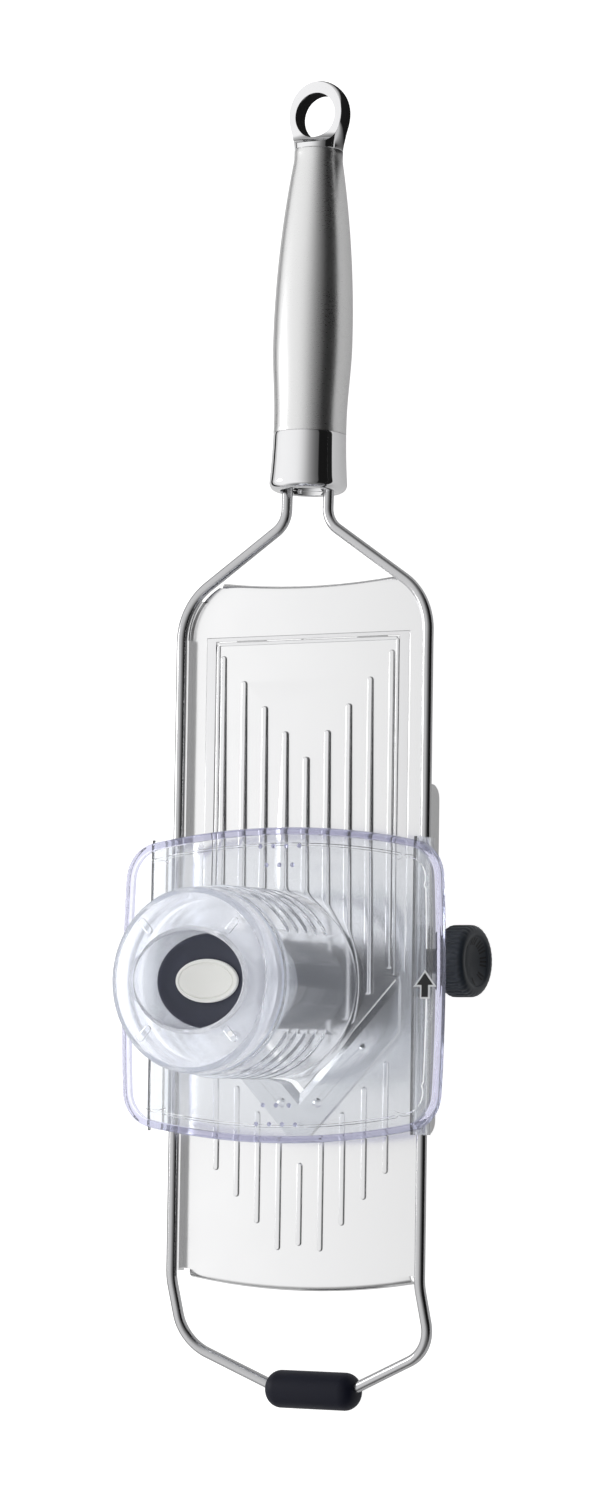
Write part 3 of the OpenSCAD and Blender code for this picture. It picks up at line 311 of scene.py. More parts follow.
def studio_world():
    world = bpy.data.worlds.new("studio")
    bpy.context.scene.world = world
    world.use_nodes = True
    g = Graph(world.node_tree)
    facing = g.node("ShaderNodeTexCoord", output=0)
    split = g.node("ShaderNodeSeparateXYZ", None, {0: facing})
    height = Signal(g, split.output.node.outputs[2])
    side = Signal(g, split.output.node.outputs[0])
    along = Signal(g, split.output.node.outputs[1])
    elevation = g.node("ShaderNodeMath", {"operation": "ARCTAN2"}, {0: height, 1: side})
    away = g.node("ShaderNodeMath", {"operation": "ABSOLUTE"}, {0: along})

    def edge(value, low, high):
        """0 below low and 1 above high."""
        return g.node("ShaderNodeMapRange", {"interpolation_type": "SMOOTHSTEP"},
                      {"Value": value, "From Min": low, "From Max": high})

    round_table = elevation * (0.5 / math.pi) + 0.5
    walls = [(-180, 0.9), (-2, 0.5), (0, 0.01), (29, 0.01), (31, 0.10), (39, 0.145), (48, 0.22), (57, 0.33),
             (66, 0.49), (75, 0.66), (85, 0.82), (94, 0.93), (104, 0.99), (120, 1.03), (150, 1.06),
             (180, 1.0)]
    tent = g.node("ShaderNodeValToRGB", {"stops": [((a + 180) / 360, grey(v)) for a, v in walls]},
                  {0: round_table})
    far_end = edge(away, 0.62, 0.95)
    seen = direct_view(g)
    room = tent * (1 - far_end) + 0.20 * far_end
    light = room * (1 - seen) + seen * 1.05
    backdrop = g.node("ShaderNodeBackground", None, {"Color": grey(1), "Strength": light})
    g.node("ShaderNodeOutputWorld", None, {"Surface": backdrop})


studio_world()
bpy.context.scene.view_settings.view_transform = "Standard"

# %% [markdown]
# The floor is a wide pale sheet. It glows a little, as a lit sweep does, so that the slicer stands on
# white with only a breath of shadow under it. One soft lamp gives the metal and the domes a highlight.

# %% Floor and lamp
def floor_sheet():
    reach = 6.0
    mesh = bpy.data.meshes.new("floor")
    corners = [(-reach, -reach), (reach, -reach), (reach, reach), (-reach, reach)]
    mesh.from_pydata([(x, y, -0.0002) for x, y in corners], [], [(0, 1, 2, 3)])
    floor = bpy.data.objects.new("floor", mesh)
    bpy.context.scene.collection.objects.link(floor)
    material, g = finish_graph("floor_sheet")
    fibre = grain(g, (1, 1, 1), 40, 2)
    seen = direct_view(g)
    place = g.node("ShaderNodeTexCoord", output=3)
    side = g.node("ShaderNodeSeparateXYZ", None, {0: place})
    along = g.node("ShaderNodeSeparateXYZ", None, {0: place}, output=1)

    def strip(start, end, axis=side, soft=0.006):
        """1 between two distances from the slicer's middle, in metres."""
        low = {"Value": axis, "From Min": start - soft, "From Max": start}
        high = {"Value": axis, "From Min": end, "From Max": end + soft}
        return g.node("ShaderNodeMapRange", None, low) * (1 - g.node("ShaderNodeMapRange", None, high))

    under_eye = strip(-0.012, 0.05) * strip(0.188, 0.215, along)
    cards = strip(0.085, 5) + strip(-0.150, -0.075) + under_eye
    lit = (1 - cards) * (1 - seen)
    colour = between(g, fibre, grey(0.50), grey(0.52))
    coat(g, {
        "Base Color": between(g, cards * (1 - seen), colour, grey(0.02)),
        "Roughness": 0.8,
        "Specular IOR Level": 0.0,
        "Emission Color": between(g, seen + lit * 0.30, grey(0.0), grey(0.95)),
        "Emission Strength": 1.0,
    })
    mesh.materials.append(material)


def soft_lamp(name, place, size, power):
    lamp = bpy.data.lights.new(name, "AREA")
    lamp.shape, lamp.size, lamp.energy = "DISK", size, power
    held = bpy.data.objects.new(name, lamp)
    bpy.context.scene.collection.objects.link(held)
    held.location = at(*place)
    held.rotation_euler = (datum - held.location).to_track_quat("-Z", "Y").to_euler()


floor_sheet()
soft_lamp("key_lamp", (-1250, 150, 600), 0.5, 2.5)
print("studio ready")

# %% [markdown]
# ## Dressing the CAD pieces
# Small machined pieces are already right in the CAD model: bushes, pins, spikes, screws. They only need
# their finish and a fine bevel, because no real edge is perfectly sharp. The weld joins the faces first,
# so the bevel can find the edges.

# %% Finish and soften CAD pieces
def dress(node, material, soft=0.1):
    """Gives a CAD piece its finish and softens its edges by some tenths of a millimetre."""
    piece = nodes[node]
    piece.data.materials.clear()
    piece.data.materials.append(material)
    weld = piece.modifiers.new("weld", "WELD")
    weld.merge_threshold = 0.002 * MM
    bevel = piece.modifiers.new("soft_edges", "BEVEL")
    bevel.width, bevel.segments = soft * MM, 2
    bevel.limit_method, bevel.angle_limit = "ANGLE", math.radians(38)
    bevel.use_clamp_overlap = True
    return piece


SHOWN = {
    polished_steel: ["cap_screw"],
    bed_steel: ["bed", "infeed_ramp", "side_plate_left", "side_plate_right", "hinge_lugs", "ramp_knuckles"],
    blade_steel: ["v_blade", "blade_rivets", "food_spikes"],
    small_steel: ["friction_washer", "hinge_pin", "cam_shaft", "shaft_clip", "dial_grub_screw", "ramp_spring",
                  "pusher_screw"],
    bearing_plastic: ["shaft_bush_left", "shaft_bush_right", "ramp_wear_pads"],
    pusher_plastic: ["pusher_stem", "spike_plate"],
    black_print: ["direction_arrow"],
}
for finish, names in SHOWN.items():
    for name in names:
        dress(name, finish)
print("dressed", sum(len(names) for names in SHOWN.values()), "CAD pieces")

# %% [markdown]
# ## Making a finer piece
# Where the CAD mesh is too coarse or too sharp to look real, a finer mesh stands in for it. The helper
# below turns a bmesh into a piece: it shades it, gives it its finish, lets it ride on its body and hides
# the CAD nodes that it stands for.

# %% Piece helper
def piece(name, bm, material, body, slot, stands_for, crease=35):
    """Turns a bmesh into a finished piece that rides on a body in place of CAD nodes."""
    bmesh.ops.recalc_face_normals(bm, faces=bm.faces)
    mesh = bpy.data.meshes.new(name)
    bm.to_mesh(mesh)
    bm.free()
    mesh.materials.append(material)
    made = bpy.data.objects.new(name, mesh)
    bpy.context.scene.collection.objects.link(made)
    mesh.shade_smooth()
    mesh.set_sharp_from_angle(angle=math.radians(crease))
    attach(made, body)
    if stands_for:
        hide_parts(*stands_for)
    print(name, len(mesh.vertices), "points")
    return made


def skin(bm, rings, closed=False):
    """Faces between rings of equal length; an open skin gets a flat face at each end."""
    loops = [[bm.verts.new(p) for p in ring] for ring in rings]
    count = len(loops[0])
    pairs = list(zip(loops, loops[1:] + loops[:1])) if closed else list(zip(loops, loops[1:]))
    for first, second in pairs:
        for k in range(count):
            m = (k + 1) % count
            bm.faces.new((first[k], first[m], second[m], second[k]))
    if not closed:
        bm.faces.new(list(reversed(loops[0])))
        bm.faces.new(loops[-1])

# %% [markdown]
# ## The wire
# The real frame is one length of round wire, bent at the two shoulders, along the rails and round the
# foot, with both ends welded inside the collar. A curve with a round bevel would do, but a swept mesh
# keeps the ends under control. The path is the bender's drawing: straight runs and arcs in two planes.

# %% Wire path
RAIL_X, WIRE_R = 44.1, 1.7
SHOULDER_R, SHOULDER_SLOPE, NECK_R, NECK_X = 20.0, 34.0, 8.0, 7.4
NECK_STRAIGHT, WIRE_IN_FERRULE = 5.2, 8.0
FOOT_STRAIGHT, FOOT_R, LEG_SLOPE, GRIP_BEND_R, GRIP_BEND_X = 10.0, 14.0, 25.0, 6.0, 11.0


def sin(degrees):
    return math.sin(math.radians(degrees))


def cos(degrees):
    return math.cos(math.radians(degrees))


def arc(centre, radius, start, end, steps):
    """Points of an arc in a flat drawing, in degrees."""
    turn = [start + (end - start) * i / steps for i in range(steps + 1)]
    return [(centre[0] + radius * cos(a), centre[1] + radius * sin(a)) for a in turn]


def on_handle(x, along, height=0.0):
    return handle_axes @ at(x, RAIL_TOP + along, height)


def on_foot(x, along, height=0.0):
    return foot_axes @ at(x, -RAIL_BOTTOM - along, height)


shoulder_turn = 90 - SHOULDER_SLOPE
shoulder_x = RAIL_X - SHOULDER_R
neck_x = NECK_X + NECK_R
leg_run = shoulder_x + SHOULDER_R * cos(shoulder_turn) - (neck_x - NECK_R * cos(shoulder_turn))
neck_start = SHOULDER_R * sin(shoulder_turn) + leg_run * math.tan(math.radians(SHOULDER_SLOPE))
neck_end = neck_start + NECK_R * sin(shoulder_turn)
FERRULE_AT = neck_end + NECK_STRAIGHT

foot_turn = 90 - LEG_SLOPE
corner_x = RAIL_X - FOOT_R
leg_end_x = GRIP_BEND_X + GRIP_BEND_R * sin(LEG_SLOPE)
leg_fall = (corner_x + FOOT_R * cos(foot_turn) - leg_end_x) * math.tan(math.radians(LEG_SLOPE))
grip_along = FOOT_STRAIGHT + FOOT_R * sin(foot_turn) + leg_fall + GRIP_BEND_R * (1 - cos(LEG_SLOPE))


def wire_half():
    """The right half of the wire, from inside the collar to the middle of the foot."""
    shoulder = [(NECK_X, FERRULE_AT + WIRE_IN_FERRULE)]
    shoulder += arc((neck_x, neck_end), NECK_R, 180, 180 + shoulder_turn, 10)
    shoulder += arc((shoulder_x, 0), SHOULDER_R, shoulder_turn, 0, 18)
    points = [on_handle(*p) for p in shoulder] + [at(RAIL_X, RAIL_TOP, 0)]
    for step in range(6):
        bend = turned(FOOT_TILT * step / 5, (0, -RAIL_BOTTOM, -FOOT_BEND))
        points.append(bend @ at(RAIL_X, -RAIL_BOTTOM, 0))
    corner = arc((corner_x, -FOOT_STRAIGHT), FOOT_R, 0, -foot_turn, 18)
    corner += arc((GRIP_BEND_X, GRIP_BEND_R - grip_along), GRIP_BEND_R, LEG_SLOPE - 90, -90, 6)
    return points + [on_foot(x, -y) for x, y in corner]


right_half = wire_half()
mirror_x = Matrix.Translation((2 * datum.x, 0, 0)) @ Matrix.Scale(-1, 4, (1, 0, 0))
wire_line = right_half + [mirror_x @ p for p in reversed(right_half)]
print("collar at", round(FERRULE_AT, 2), "mm; wire points", len(wire_line))


# %% Sweep the wire
def sweep(bm, line, radius, sides):
    """A round bar along a line, with rings that never twist."""
    rings, side = [], Vector((0, 0, 1))
    for i, spot in enumerate(line):
        run = (line[min(i + 1, len(line) - 1)] - line[max(i - 1, 0)]).normalized()
        across = run.cross(side).normalized()
        side = across.cross(run).normalized()
        turn = [2 * math.pi * k / sides for k in range(sides)]
        rings.append([spot + radius * (math.cos(t) * across + math.sin(t) * side) for t in turn])
    skin(bm, rings)


wire = bmesh.new()
sweep(wire, wire_line, WIRE_R * MM, 32)
piece("wire_frame", wire, wire_steel, "frame", "wire_steel", ["frame_wire"], 60)

# %% [markdown]
# ## Handle, collar and foot grip
# These are turned shapes: a profile carried round an axis. The handle is a long barrel, slimmer at the
# neck, brushed on a belt. The collar is the same curve polished bright. Between them the real handle has
# a fine groove where two finishes meet, so each part ends in a tiny rounded shoulder.

# %% Turned shapes
def turned_rings(profile, place, sides=96):
    """Rings for a profile of (radius, distance along the axis); place maps them into the frame."""
    turn = [2 * math.pi * k / sides for k in range(sides)]
    return [[place(r * math.cos(t), r * math.sin(t), along) for t in turn] for r, along in profile]


def round_handle(x, z, along):
    return on_handle(x, FERRULE_AT + along, z)


FERRULE_LEN, HANDLE_LEN, WAIST_AT, BELLY_AT, NECK_LEN = 18.0, 107.5, 22.0, 47.0, 3.0
FERRULE_R, WAIST_R, BELLY_R, NECK_D_R, LIP = 12.1, 11.3, 12.35, 7.6, 2.6


def handle_radius(v):
    """Radius of the handle at a distance from the collar's open edge."""
    if v < WAIST_AT:
        return WAIST_R + (FERRULE_R - WAIST_R) * ((WAIST_AT - v) / (WAIST_AT - LIP)) ** 2
    if v < BELLY_AT:
        return WAIST_R + (BELLY_R - WAIST_R) * (1 - cos(180 * (v - WAIST_AT) / (BELLY_AT - WAIST_AT))) / 2
    end = HANDLE_LEN - NECK_LEN
    return BELLY_R - (BELLY_R - NECK_D_R) * ((min(v, end) - BELLY_AT) / (end - BELLY_AT)) ** 2


def barrel(start, end, steps, shoulder=0.12):
    """Profile of a stretch of the handle with a tiny rounded shoulder at both ends."""
    stretch = [start + (end - start) * i / steps for i in range(steps + 1)]
    body = [(handle_radius(v), v) for v in stretch[1:-1]]
    first, last = handle_radius(start), handle_radius(end)
    opening = [(first - 2 * shoulder, start), (first - 0.6 * shoulder, start + 0.4 * shoulder),
               (first, start + 2 * shoulder)]
    closing = [(last, end - 2 * shoulder), (last - 0.6 * shoulder, end - 0.4 * shoulder),
               (last - 2 * shoulder, end)]
    return opening + body + closing


handle = bmesh.new()
skin(handle, turned_rings(barrel(FERRULE_LEN, HANDLE_LEN, 60), round_handle))
piece("handle", handle, satin_steel, "frame", "satin_steel", ["handle_body"], 50)

# %% Collar
MOUTH_WALL, MOUTH_DEEP = 1.1, 1.6
collar_edge = [(FERRULE_R - LIP + x, y) for x, y in arc((0, LIP), LIP, -90, 0, 10)]
mouth_r = FERRULE_R - LIP - MOUTH_WALL
mouth = [(mouth_r, MOUTH_DEEP), (mouth_r + 0.1, 0.4), (mouth_r + 0.5, 0.05)]
collar = bmesh.new()
skin(collar, turned_rings(mouth + collar_edge + barrel(LIP + 0.4, FERRULE_LEN, 16)[3:], round_handle))
piece("collar", collar, polished_steel, "frame", "polished_steel", ["ferrule"], 50)

# %% Foot grip
GRIP_R, GRIP_HALF, GRIP_CORNER = 5.85, 16.0, 4.8


def round_grip(a, b, along):
    return on_foot(along, grip_along + a, b)


rounding = arc((0, 0), GRIP_CORNER, 0, 90, 12)
end_arc = [(GRIP_R - GRIP_CORNER + r, GRIP_HALF - GRIP_CORNER + x) for x, r in rounding]
grip_profile = [(r, -x) for r, x in end_arc] + list(reversed(end_arc))
grip = bmesh.new()
skin(grip, turned_rings(grip_profile, round_grip, 64))
piece("rubber_grip", grip, grip_rubber, "frame", "grip_rubber", ["foot_grip"], 60)

# %% [markdown]
# ## Hanging eye
# The eye starts as a turned egg, is milled flat on both sides with a hollow shoulder, and is drilled.
# The same three steps work here: a turned mesh, then booleans for the two flats and the hole, and a
# generous bevel, because a polished edge is always rolled over.

# %% Cutting helper
def cut_out(blank, tool_mesh):
    """Cuts the tool's shape out of a piece and leaves one plain mesh."""
    bmesh.ops.recalc_face_normals(tool_mesh, faces=tool_mesh.faces)
    data = bpy.data.meshes.new("cutter")
    tool_mesh.to_mesh(data)
    tool_mesh.free()
    tool = bpy.data.objects.new("cutter", data)
    bpy.context.scene.collection.objects.link(tool)
    cut = blank.modifiers.new("cut", "BOOLEAN")
    cut.operation, cut.object, cut.solver = "DIFFERENCE", tool, "EXACT"
    settle(blank)
    bpy.data.objects.remove(tool)


def settle(made):
    """Replaces a piece's mesh by the one that its modifiers make."""
    bpy.context.view_layer.update()
    shape = bpy.data.meshes.new_from_object(made.evaluated_get(bpy.context.evaluated_depsgraph_get()))
    made.modifiers.clear()
    made.data = shape


# %% Hanging eye
EYE_SHANK, EYE_HALF, EYE_RISE, EYE_FLAT, EYE_HOLLOW, EYE_HOLE_R = 11.4, 9.8, 10.8, 3.0, 5.0, 7.1
EYE_AT = HANDLE_LEN + EYE_SHANK
HOLE_AT = EYE_AT - 0.4
SHOULDER_AT, CUT_DEEP, CUT_WIDE = HANDLE_LEN + 1.5, 20, 15


def egg_profile():
    flank = [(NECK_D_R - 0.15, HANDLE_LEN), (NECK_D_R, HANDLE_LEN + 0.15)]
    for i in range(1, 13):
        t = i / 12
        flank.append((NECK_D_R + (EYE_HALF - NECK_D_R) * (1 - cos(180 * t)) / 2, HANDLE_LEN + EYE_SHANK * t))
    crown = [(EYE_HALF * cos(a), EYE_AT + EYE_RISE * sin(a)) for a in range(6, 85, 6)]
    return flank + crown + [(0.4, EYE_AT + EYE_RISE)]


def flat_cutter(side):
    """The milling tool's path on one side: a hollow shoulder and then a flat."""
    hollow = arc((SHOULDER_AT + EYE_HOLLOW, EYE_FLAT + EYE_HOLLOW), EYE_HOLLOW, 180, 270, 12)
    beyond = EYE_AT + CUT_DEEP
    path = hollow + [(beyond, EYE_FLAT), (beyond, CUT_DEEP), (SHOULDER_AT, CUT_DEEP)]
    tool = bmesh.new()
    skin(tool, [[on_handle(x, FERRULE_AT + along, side * height) for along, height in path]
                for x in (-CUT_WIDE, CUT_WIDE)])
    return tool


def hole_cutter():
    """A drill right through the eye."""
    turn = [2 * math.pi * k / 96 for k in range(96)]
    tool = bmesh.new()
    middle, r = FERRULE_AT + HOLE_AT, EYE_HOLE_R
    skin(tool, [[on_handle(r * math.cos(t), middle + r * math.sin(t), z) for t in turn] for z in (-12, 12)])
    return tool


egg = bmesh.new()
skin(egg, turned_rings(egg_profile(), round_handle, 128))
eye = piece("hanging_loop", egg, polished_steel, "frame", "polished_steel", ["hanging_eye"], 50)
for side in (1, -1):
    cut_out(eye, flat_cutter(side))
cut_out(eye, hole_cutter())
rolled = eye.modifiers.new("rolled_edge", "BEVEL")
rolled.width, rolled.segments = 0.9 * MM, 5
rolled.limit_method, rolled.angle_limit = "ANGLE", math.radians(32)
settle(eye)
eye.data.shade_smooth()
eye.data.set_sharp_from_angle(angle=math.radians(50))
print("eye", len(eye.data.vertices), "points")

# %% [markdown]
# ## Ribs and border of the bed
# Food slides over pressed ribs, so that it does not stick. On real sheet each rib is a long dome with a
# steep flank, which is what draws the thin dark line on its right. The CAD ribs are plainer, so a dome
# of carried outlines covers each of them, on the bed and on the ramp. The ramp's own edge is rolled
# the same way on three sides.

# %% Rib domes
BED_Z, RIB_PITCH, RIB_STEP, RIB_HALF = -2.6, 7.54, 8.05, 0.98
V_ANGLE, V_APEX, CUT_BACK, RAMP_BACK = 46.3, -50.2, 12, 13.1
V_SLOPE = math.tan(math.radians(V_ANGLE))
CUT_APEX = V_APEX + CUT_BACK / cos(V_ANGLE)
RAMP_APEX = V_APEX + RAMP_BACK / cos(V_ANGLE)
RIB_RISE = ((0.0, -0.05), (0.04, 0.15), (0.1, 0.31), (0.2, 0.43), (0.34, 0.495), (0.55, 0.515), (0.8, 0.518))


def add_dome(bm, x, low, high, share=1.0, across=False):
    """A long dome over a rib, as outlines of falling width and rising height; share scales its section."""
    rings = []
    for inset, rise in RIB_RISE:
        half, r = share * RIB_HALF, share * (RIB_HALF - inset)
        outline = arc((x, high - half), r, 0, 180, 10) + arc((x, low + half), r, 180, 360, 10)
        rings.append([at(py, px, BED_Z + share * rise) if across else at(px, py, BED_Z + share * rise)
                      for px, py in outline])
    skin(bm, rings)


BED_RIB_END, BED_MIDDLE_END, BED_RIB_GAP = -89.25, -79.7, 4
RAMP_RIB_END, RAMP_RIB_GAP = 71, 5
EDGE_X, EDGE_TOP, EDGE_GAP, EDGE_SHARE = 32.1, 106.75, 1, 0.6
bed_ribs, ramp_ribs = bmesh.new(), bmesh.new()
for i in range(-4, 5):
    far = abs(i) * RIB_PITCH * V_SLOPE
    end = BED_MIDDLE_END if i == 0 else BED_RIB_END + RIB_STEP * abs(i)
    add_dome(bed_ribs, i * RIB_PITCH, end, V_APEX + far - BED_RIB_GAP)
    add_dome(ramp_ribs, i * RIB_PITCH, RAMP_APEX + far + RAMP_RIB_GAP, RAMP_RIB_END + RIB_STEP * abs(i))
for side in (-1, 1):
    edge_low = RAMP_APEX + EDGE_X * V_SLOPE + EDGE_GAP
    add_dome(ramp_ribs, side * EDGE_X, edge_low, EDGE_TOP, EDGE_SHARE)
add_dome(ramp_ribs, EDGE_TOP, -EDGE_X, EDGE_X, EDGE_SHARE, across=True)
piece("bed_ribs", bed_ribs, rib_steel, "frame", "bed_steel", None, 60)
piece("ramp_ribs", ramp_ribs, rib_steel, "ramp", "bed_steel", None, 60)

# %% [markdown]
# The opening has a raised border on three sides, which stiffens the sheet. Its outer flank slopes gently
# and its inner edge stays square, next to the ramp.

# %% Border
OPEN_HALF, OPEN_TOP, BORDER_W, BORDER_TOP_W = 33.0, 107.7, 3.2, 0.9
BORDER_RISE = ((-0.38, -0.03), (-0.3, 0.06), (-0.16, 0.24), (0.0, 0.32), (0.15, 0.345))


def border_ring(grow, rise):
    """The border's outline, with its outer side moved in or out."""
    out = OPEN_HALF + BORDER_W - grow
    top = OPEN_TOP + BORDER_TOP_W - grow
    low = CUT_APEX + (OPEN_HALF + 1.6) * V_SLOPE + 1
    inner, roof = OPEN_HALF - 0.01, OPEN_TOP - 0.01
    plan = [(-out, low), (-out, top), (out, top), (out, low), (inner, low), (inner, roof), (-inner, roof),
            (-inner, low)]
    return [at(x, y, BED_Z + rise) for x, y in plan]


border = bmesh.new()
skin(border, [border_ring(grow, rise) for grow, rise in BORDER_RISE])
piece("opening_border", border, rib_steel, "frame", "bed_steel", None, 20)

# %% [markdown]
# ## The clear guard
# The real guard is one moulding: a flange with a rim, a round column and two runners that hug the wires.
# A moulding has one skin all round, and light shows every wall of it, so it is built as one closed loop
# of stations carried round the column's axis. Each station gives a radius for every direction: constant
# on the column, and the bowed rectangle's own outline on the flange.

# %% Outline of the flange
GUARD_A, GUARD_B, SIDE_R, END_R, CORNER_R = 56.6, 48.3, 640.0, 250.0, 12.0
side_centre = Vector((GUARD_A - SIDE_R, 0))
end_centre = Vector((0, GUARD_B - END_R))


def circles_meet(c1, r1, c2, r2):
    """The upper crossing of two circles."""
    gap = c2 - c1
    reach = (r1 * r1 - r2 * r2 + gap.length_squared) / (2 * gap.length)
    rise = math.sqrt(r1 * r1 - reach * reach)
    step = gap.normalized()
    spots = [c1 + reach * step + s * rise * Vector((-step.y, step.x)) for s in (1, -1)]
    return max(spots, key=lambda p: (p.x > 0) * 1000 + p.y)


corner_centre = circles_meet(end_centre, END_R - CORNER_R, side_centre, SIDE_R - CORNER_R)
side_tangent = side_centre + (corner_centre - side_centre).normalized() * SIDE_R
end_tangent = end_centre + (corner_centre - end_centre).normalized() * END_R
side_until = math.atan2(side_tangent.y, side_tangent.x)
end_from = math.atan2(end_tangent.y, end_tangent.x)


def ray_to_circle(ray, centre, radius):
    along = ray.dot(centre)
    return along + math.sqrt(along * along - centre.length_squared + radius * radius)


def flange_radius(angle, inset):
    """Distance from the column's axis to the flange's outline, in one direction."""
    ray = Vector((abs(math.cos(angle)), abs(math.sin(angle))))
    turn = math.atan2(ray.y, ray.x)
    if turn < side_until:
        return ray_to_circle(ray, side_centre, SIDE_R - inset)
    if turn > end_from:
        return ray_to_circle(ray, end_centre, END_R - inset)
    return ray_to_circle(ray, corner_centre, CORNER_R - inset)


print("flange corner", [round(v, 2) for v in corner_centre])

# %% [markdown]
# The column has five finger ridges at each end, fading out towards the sides, so a ridge station adds a
# little radius where it faces along the slicer. The flange's upper edge is rounded, and a thin rib below
# it keeps it stiff: that is the faint line seen just inside the edge.

# %% Stations of the guard
FLANGE_TOP, FLANGE_UNDER, RIM_LOW, COLUMN_R, COLUMN_BORE, COLUMN_TOP = 12.5, 10.5, 8.5, 28.3, 26.3, 55.0
RIDGES, RIDGE_OUT, RIDGE_FADE = (25, 30.5, 36, 41.5, 47), 0.7, 32


def ridge_share(angle):
    """1 along the slicer, 0 at its sides."""
    lean = math.degrees(math.asin(min(1, abs(math.sin(angle)))))
    share = min(1, max(0, (lean - RIDGE_FADE + 2) / 4))
    return share * share * (3 - 2 * share)


def on_plan(inset, z, edge=0.0):
    """A station on the flange's outline; edge is how much it looks like a thick edge."""
    return lambda angle: (flange_radius(angle, inset), z, 0.0, edge)


def on_round(radius, z, ridge=0.0, frost=1.0):
    """A station on the round column; frost is how matt it is."""
    return lambda angle: (radius + ridge * ridge_share(angle), z, frost, 0.0)


def guard_stations():
    """Every station of the guard, from the flange's upper edge over the column and back below."""
    quarter = range(0, 91, 15)
    rim = [on_plan(1 - cos(a), FLANGE_TOP - 1 + sin(a), 1) for a in quarter] + [on_plan(2, FLANGE_TOP, 1)]
    rim += [on_plan(2.4, FLANGE_TOP)]
    fillet = [on_round(COLUMN_R + 2 - 2 * sin(a), FLANGE_TOP + 2 - 2 * cos(a), 0, a / 90) for a in quarter]
    ridges = []
    for z in RIDGES:
        steps = ((-0.8, 0), (-0.55, 0.55), (-0.2, 1), (0.2, 1), (0.55, 0.55), (0.8, 0))
        ridges += [on_round(COLUMN_R, z + dz, RIDGE_OUT * share) for dz, share in steps]
    top = [on_round(COLUMN_R, COLUMN_TOP - 0.4), on_round(COLUMN_R - 0.4, COLUMN_TOP),
           on_round(COLUMN_BORE, COLUMN_TOP)]
    rib = [on_plan(5.6, FLANGE_UNDER), on_plan(5.4, FLANGE_UNDER - 0.5), on_plan(4.9, FLANGE_UNDER - 0.5),
           on_plan(4.7, FLANGE_UNDER)]
    under = [on_round(COLUMN_BORE, FLANGE_UNDER)] + rib + [on_plan(2.3, FLANGE_UNDER)]
    low = [on_plan(2, FLANGE_UNDER - 0.3, 1), on_plan(2, RIM_LOW + 0.2, 1), on_plan(1.8, RIM_LOW, 1),
           on_plan(0.3, RIM_LOW, 1), on_plan(0, RIM_LOW + 0.3, 1)]
    return rim + fillet + ridges + top + under + low


def carried_round(bm, stations, sides):
    """One closed skin made by carrying stations round the column's axis, with its painted values."""
    frost, edge = (bm.verts.layers.float.new(name) for name in ("frost", "edge"))
    turn = [2 * math.pi * k / sides for k in range(sides)]
    values = [[station(t) for t in turn] for station in stations]
    rings = [[at(r * math.cos(t), r * math.sin(t), z) for t, (r, z, _, _) in zip(turn, ring)]
             for ring in values]
    skin(bm, rings, closed=True)
    for vert, (_, _, matt, thick) in zip(bm.verts, (value for ring in values for value in ring)):
        vert[frost], vert[edge] = matt, thick


# %% [markdown]
# The runners and the rows of little nubs are added to the same skin. A nub is a low dome that keeps a
# wet thumb from slipping.

# %% Runners and nubs
RUNNER_IN, RUNNER_X, RUNNER_WALL, RUNNER_SEAT, RUNNER_T, RUNNER_HALF = 3.4, 46.1, 1.0, 1.85, 1.8, 45.0
NUB_ROWS, NUB_PITCH, NUB_R, NUB_SINK = ((42.5, 4), (36.7, 3)), 4.6, 0.75, 0.2


def add_runner(bm, side):
    """A rail that rests on one wire and hugs its outer side."""
    section = [(RUNNER_X - RUNNER_IN, RUNNER_SEAT), (RUNNER_X, RUNNER_SEAT), (RUNNER_X, -0.3),
               (RUNNER_X + RUNNER_WALL, -0.3), (RUNNER_X + RUNNER_WALL, FLANGE_UNDER + 0.01),
               (RUNNER_X, FLANGE_UNDER + 0.01), (RUNNER_X, RUNNER_SEAT + RUNNER_T),
               (RUNNER_X - RUNNER_IN, RUNNER_SEAT + RUNNER_T)]
    ends = [[at(side * x, y, z) for x, z in section] for y in (-RUNNER_HALF, RUNNER_HALF)]
    skin(bm, ends)


def add_nub(bm, x, y):
    """One low dome; its skin counts as an edge, so it catches the tint."""
    edge, before = bm.verts.layers.float["edge"], len(bm.verts)
    rise = [(NUB_R * cos(a), NUB_R * sin(a) - NUB_SINK) for a in range(0, 76, 15)]
    turn = [2 * math.pi * k / 16 for k in range(16)]
    rings = [[at(x + r * math.cos(t), y + r * math.sin(t), FLANGE_TOP + z) for t in turn] for r, z in rise]
    skin(bm, rings)
    bm.verts.ensure_lookup_table()
    for vert in bm.verts[before:]:
        vert[edge] = 1.0


guard = bmesh.new()
carried_round(guard, guard_stations(), 360)
for side in (-1, 1):
    add_runner(guard, side)
    for reach, count in NUB_ROWS:
        for k in range(count):
            add_nub(guard, (k - (count - 1) / 2) * NUB_PITCH, side * reach)
piece("clear_guard", guard, clear_plastic, "guard", "clear_plastic", ["guard_shell"], 40)

# %% [markdown]
# ## Cap
# The cap plugs the column and holds the plunger's oval well. It is carried round the same axis, but its
# stations change from a circle at the rim to an oval at the well. Four capsule-shaped pockets are then
# cut out with a boolean, because a cut is the shape that the mould's own pins leave.

# %% Cap stations
CAP_R, CAP_TOP, CAP_ROUND, CAP_WALL = 27.8, 65.0, 3.5, 2.0
SPIGOT_R, SPIGOT_LOW, SPIGOT_INSIDE = 24.3, 51.0, 57.0
WELL_A, WELL_B, BRIM_ROUND, LEDGE, GUIDE, SLEEVE = 18.8, 14.65, 1.2, 46.0, 36.0, 1.5


def on_oval(grow, z):
    """A station on the well's oval, moved outwards by some millimetres."""
    a, b = WELL_A + grow, WELL_B + grow
    return lambda angle: (a * b / math.hypot(b * math.cos(angle), a * math.sin(angle)), z, 1.0, 0.0)


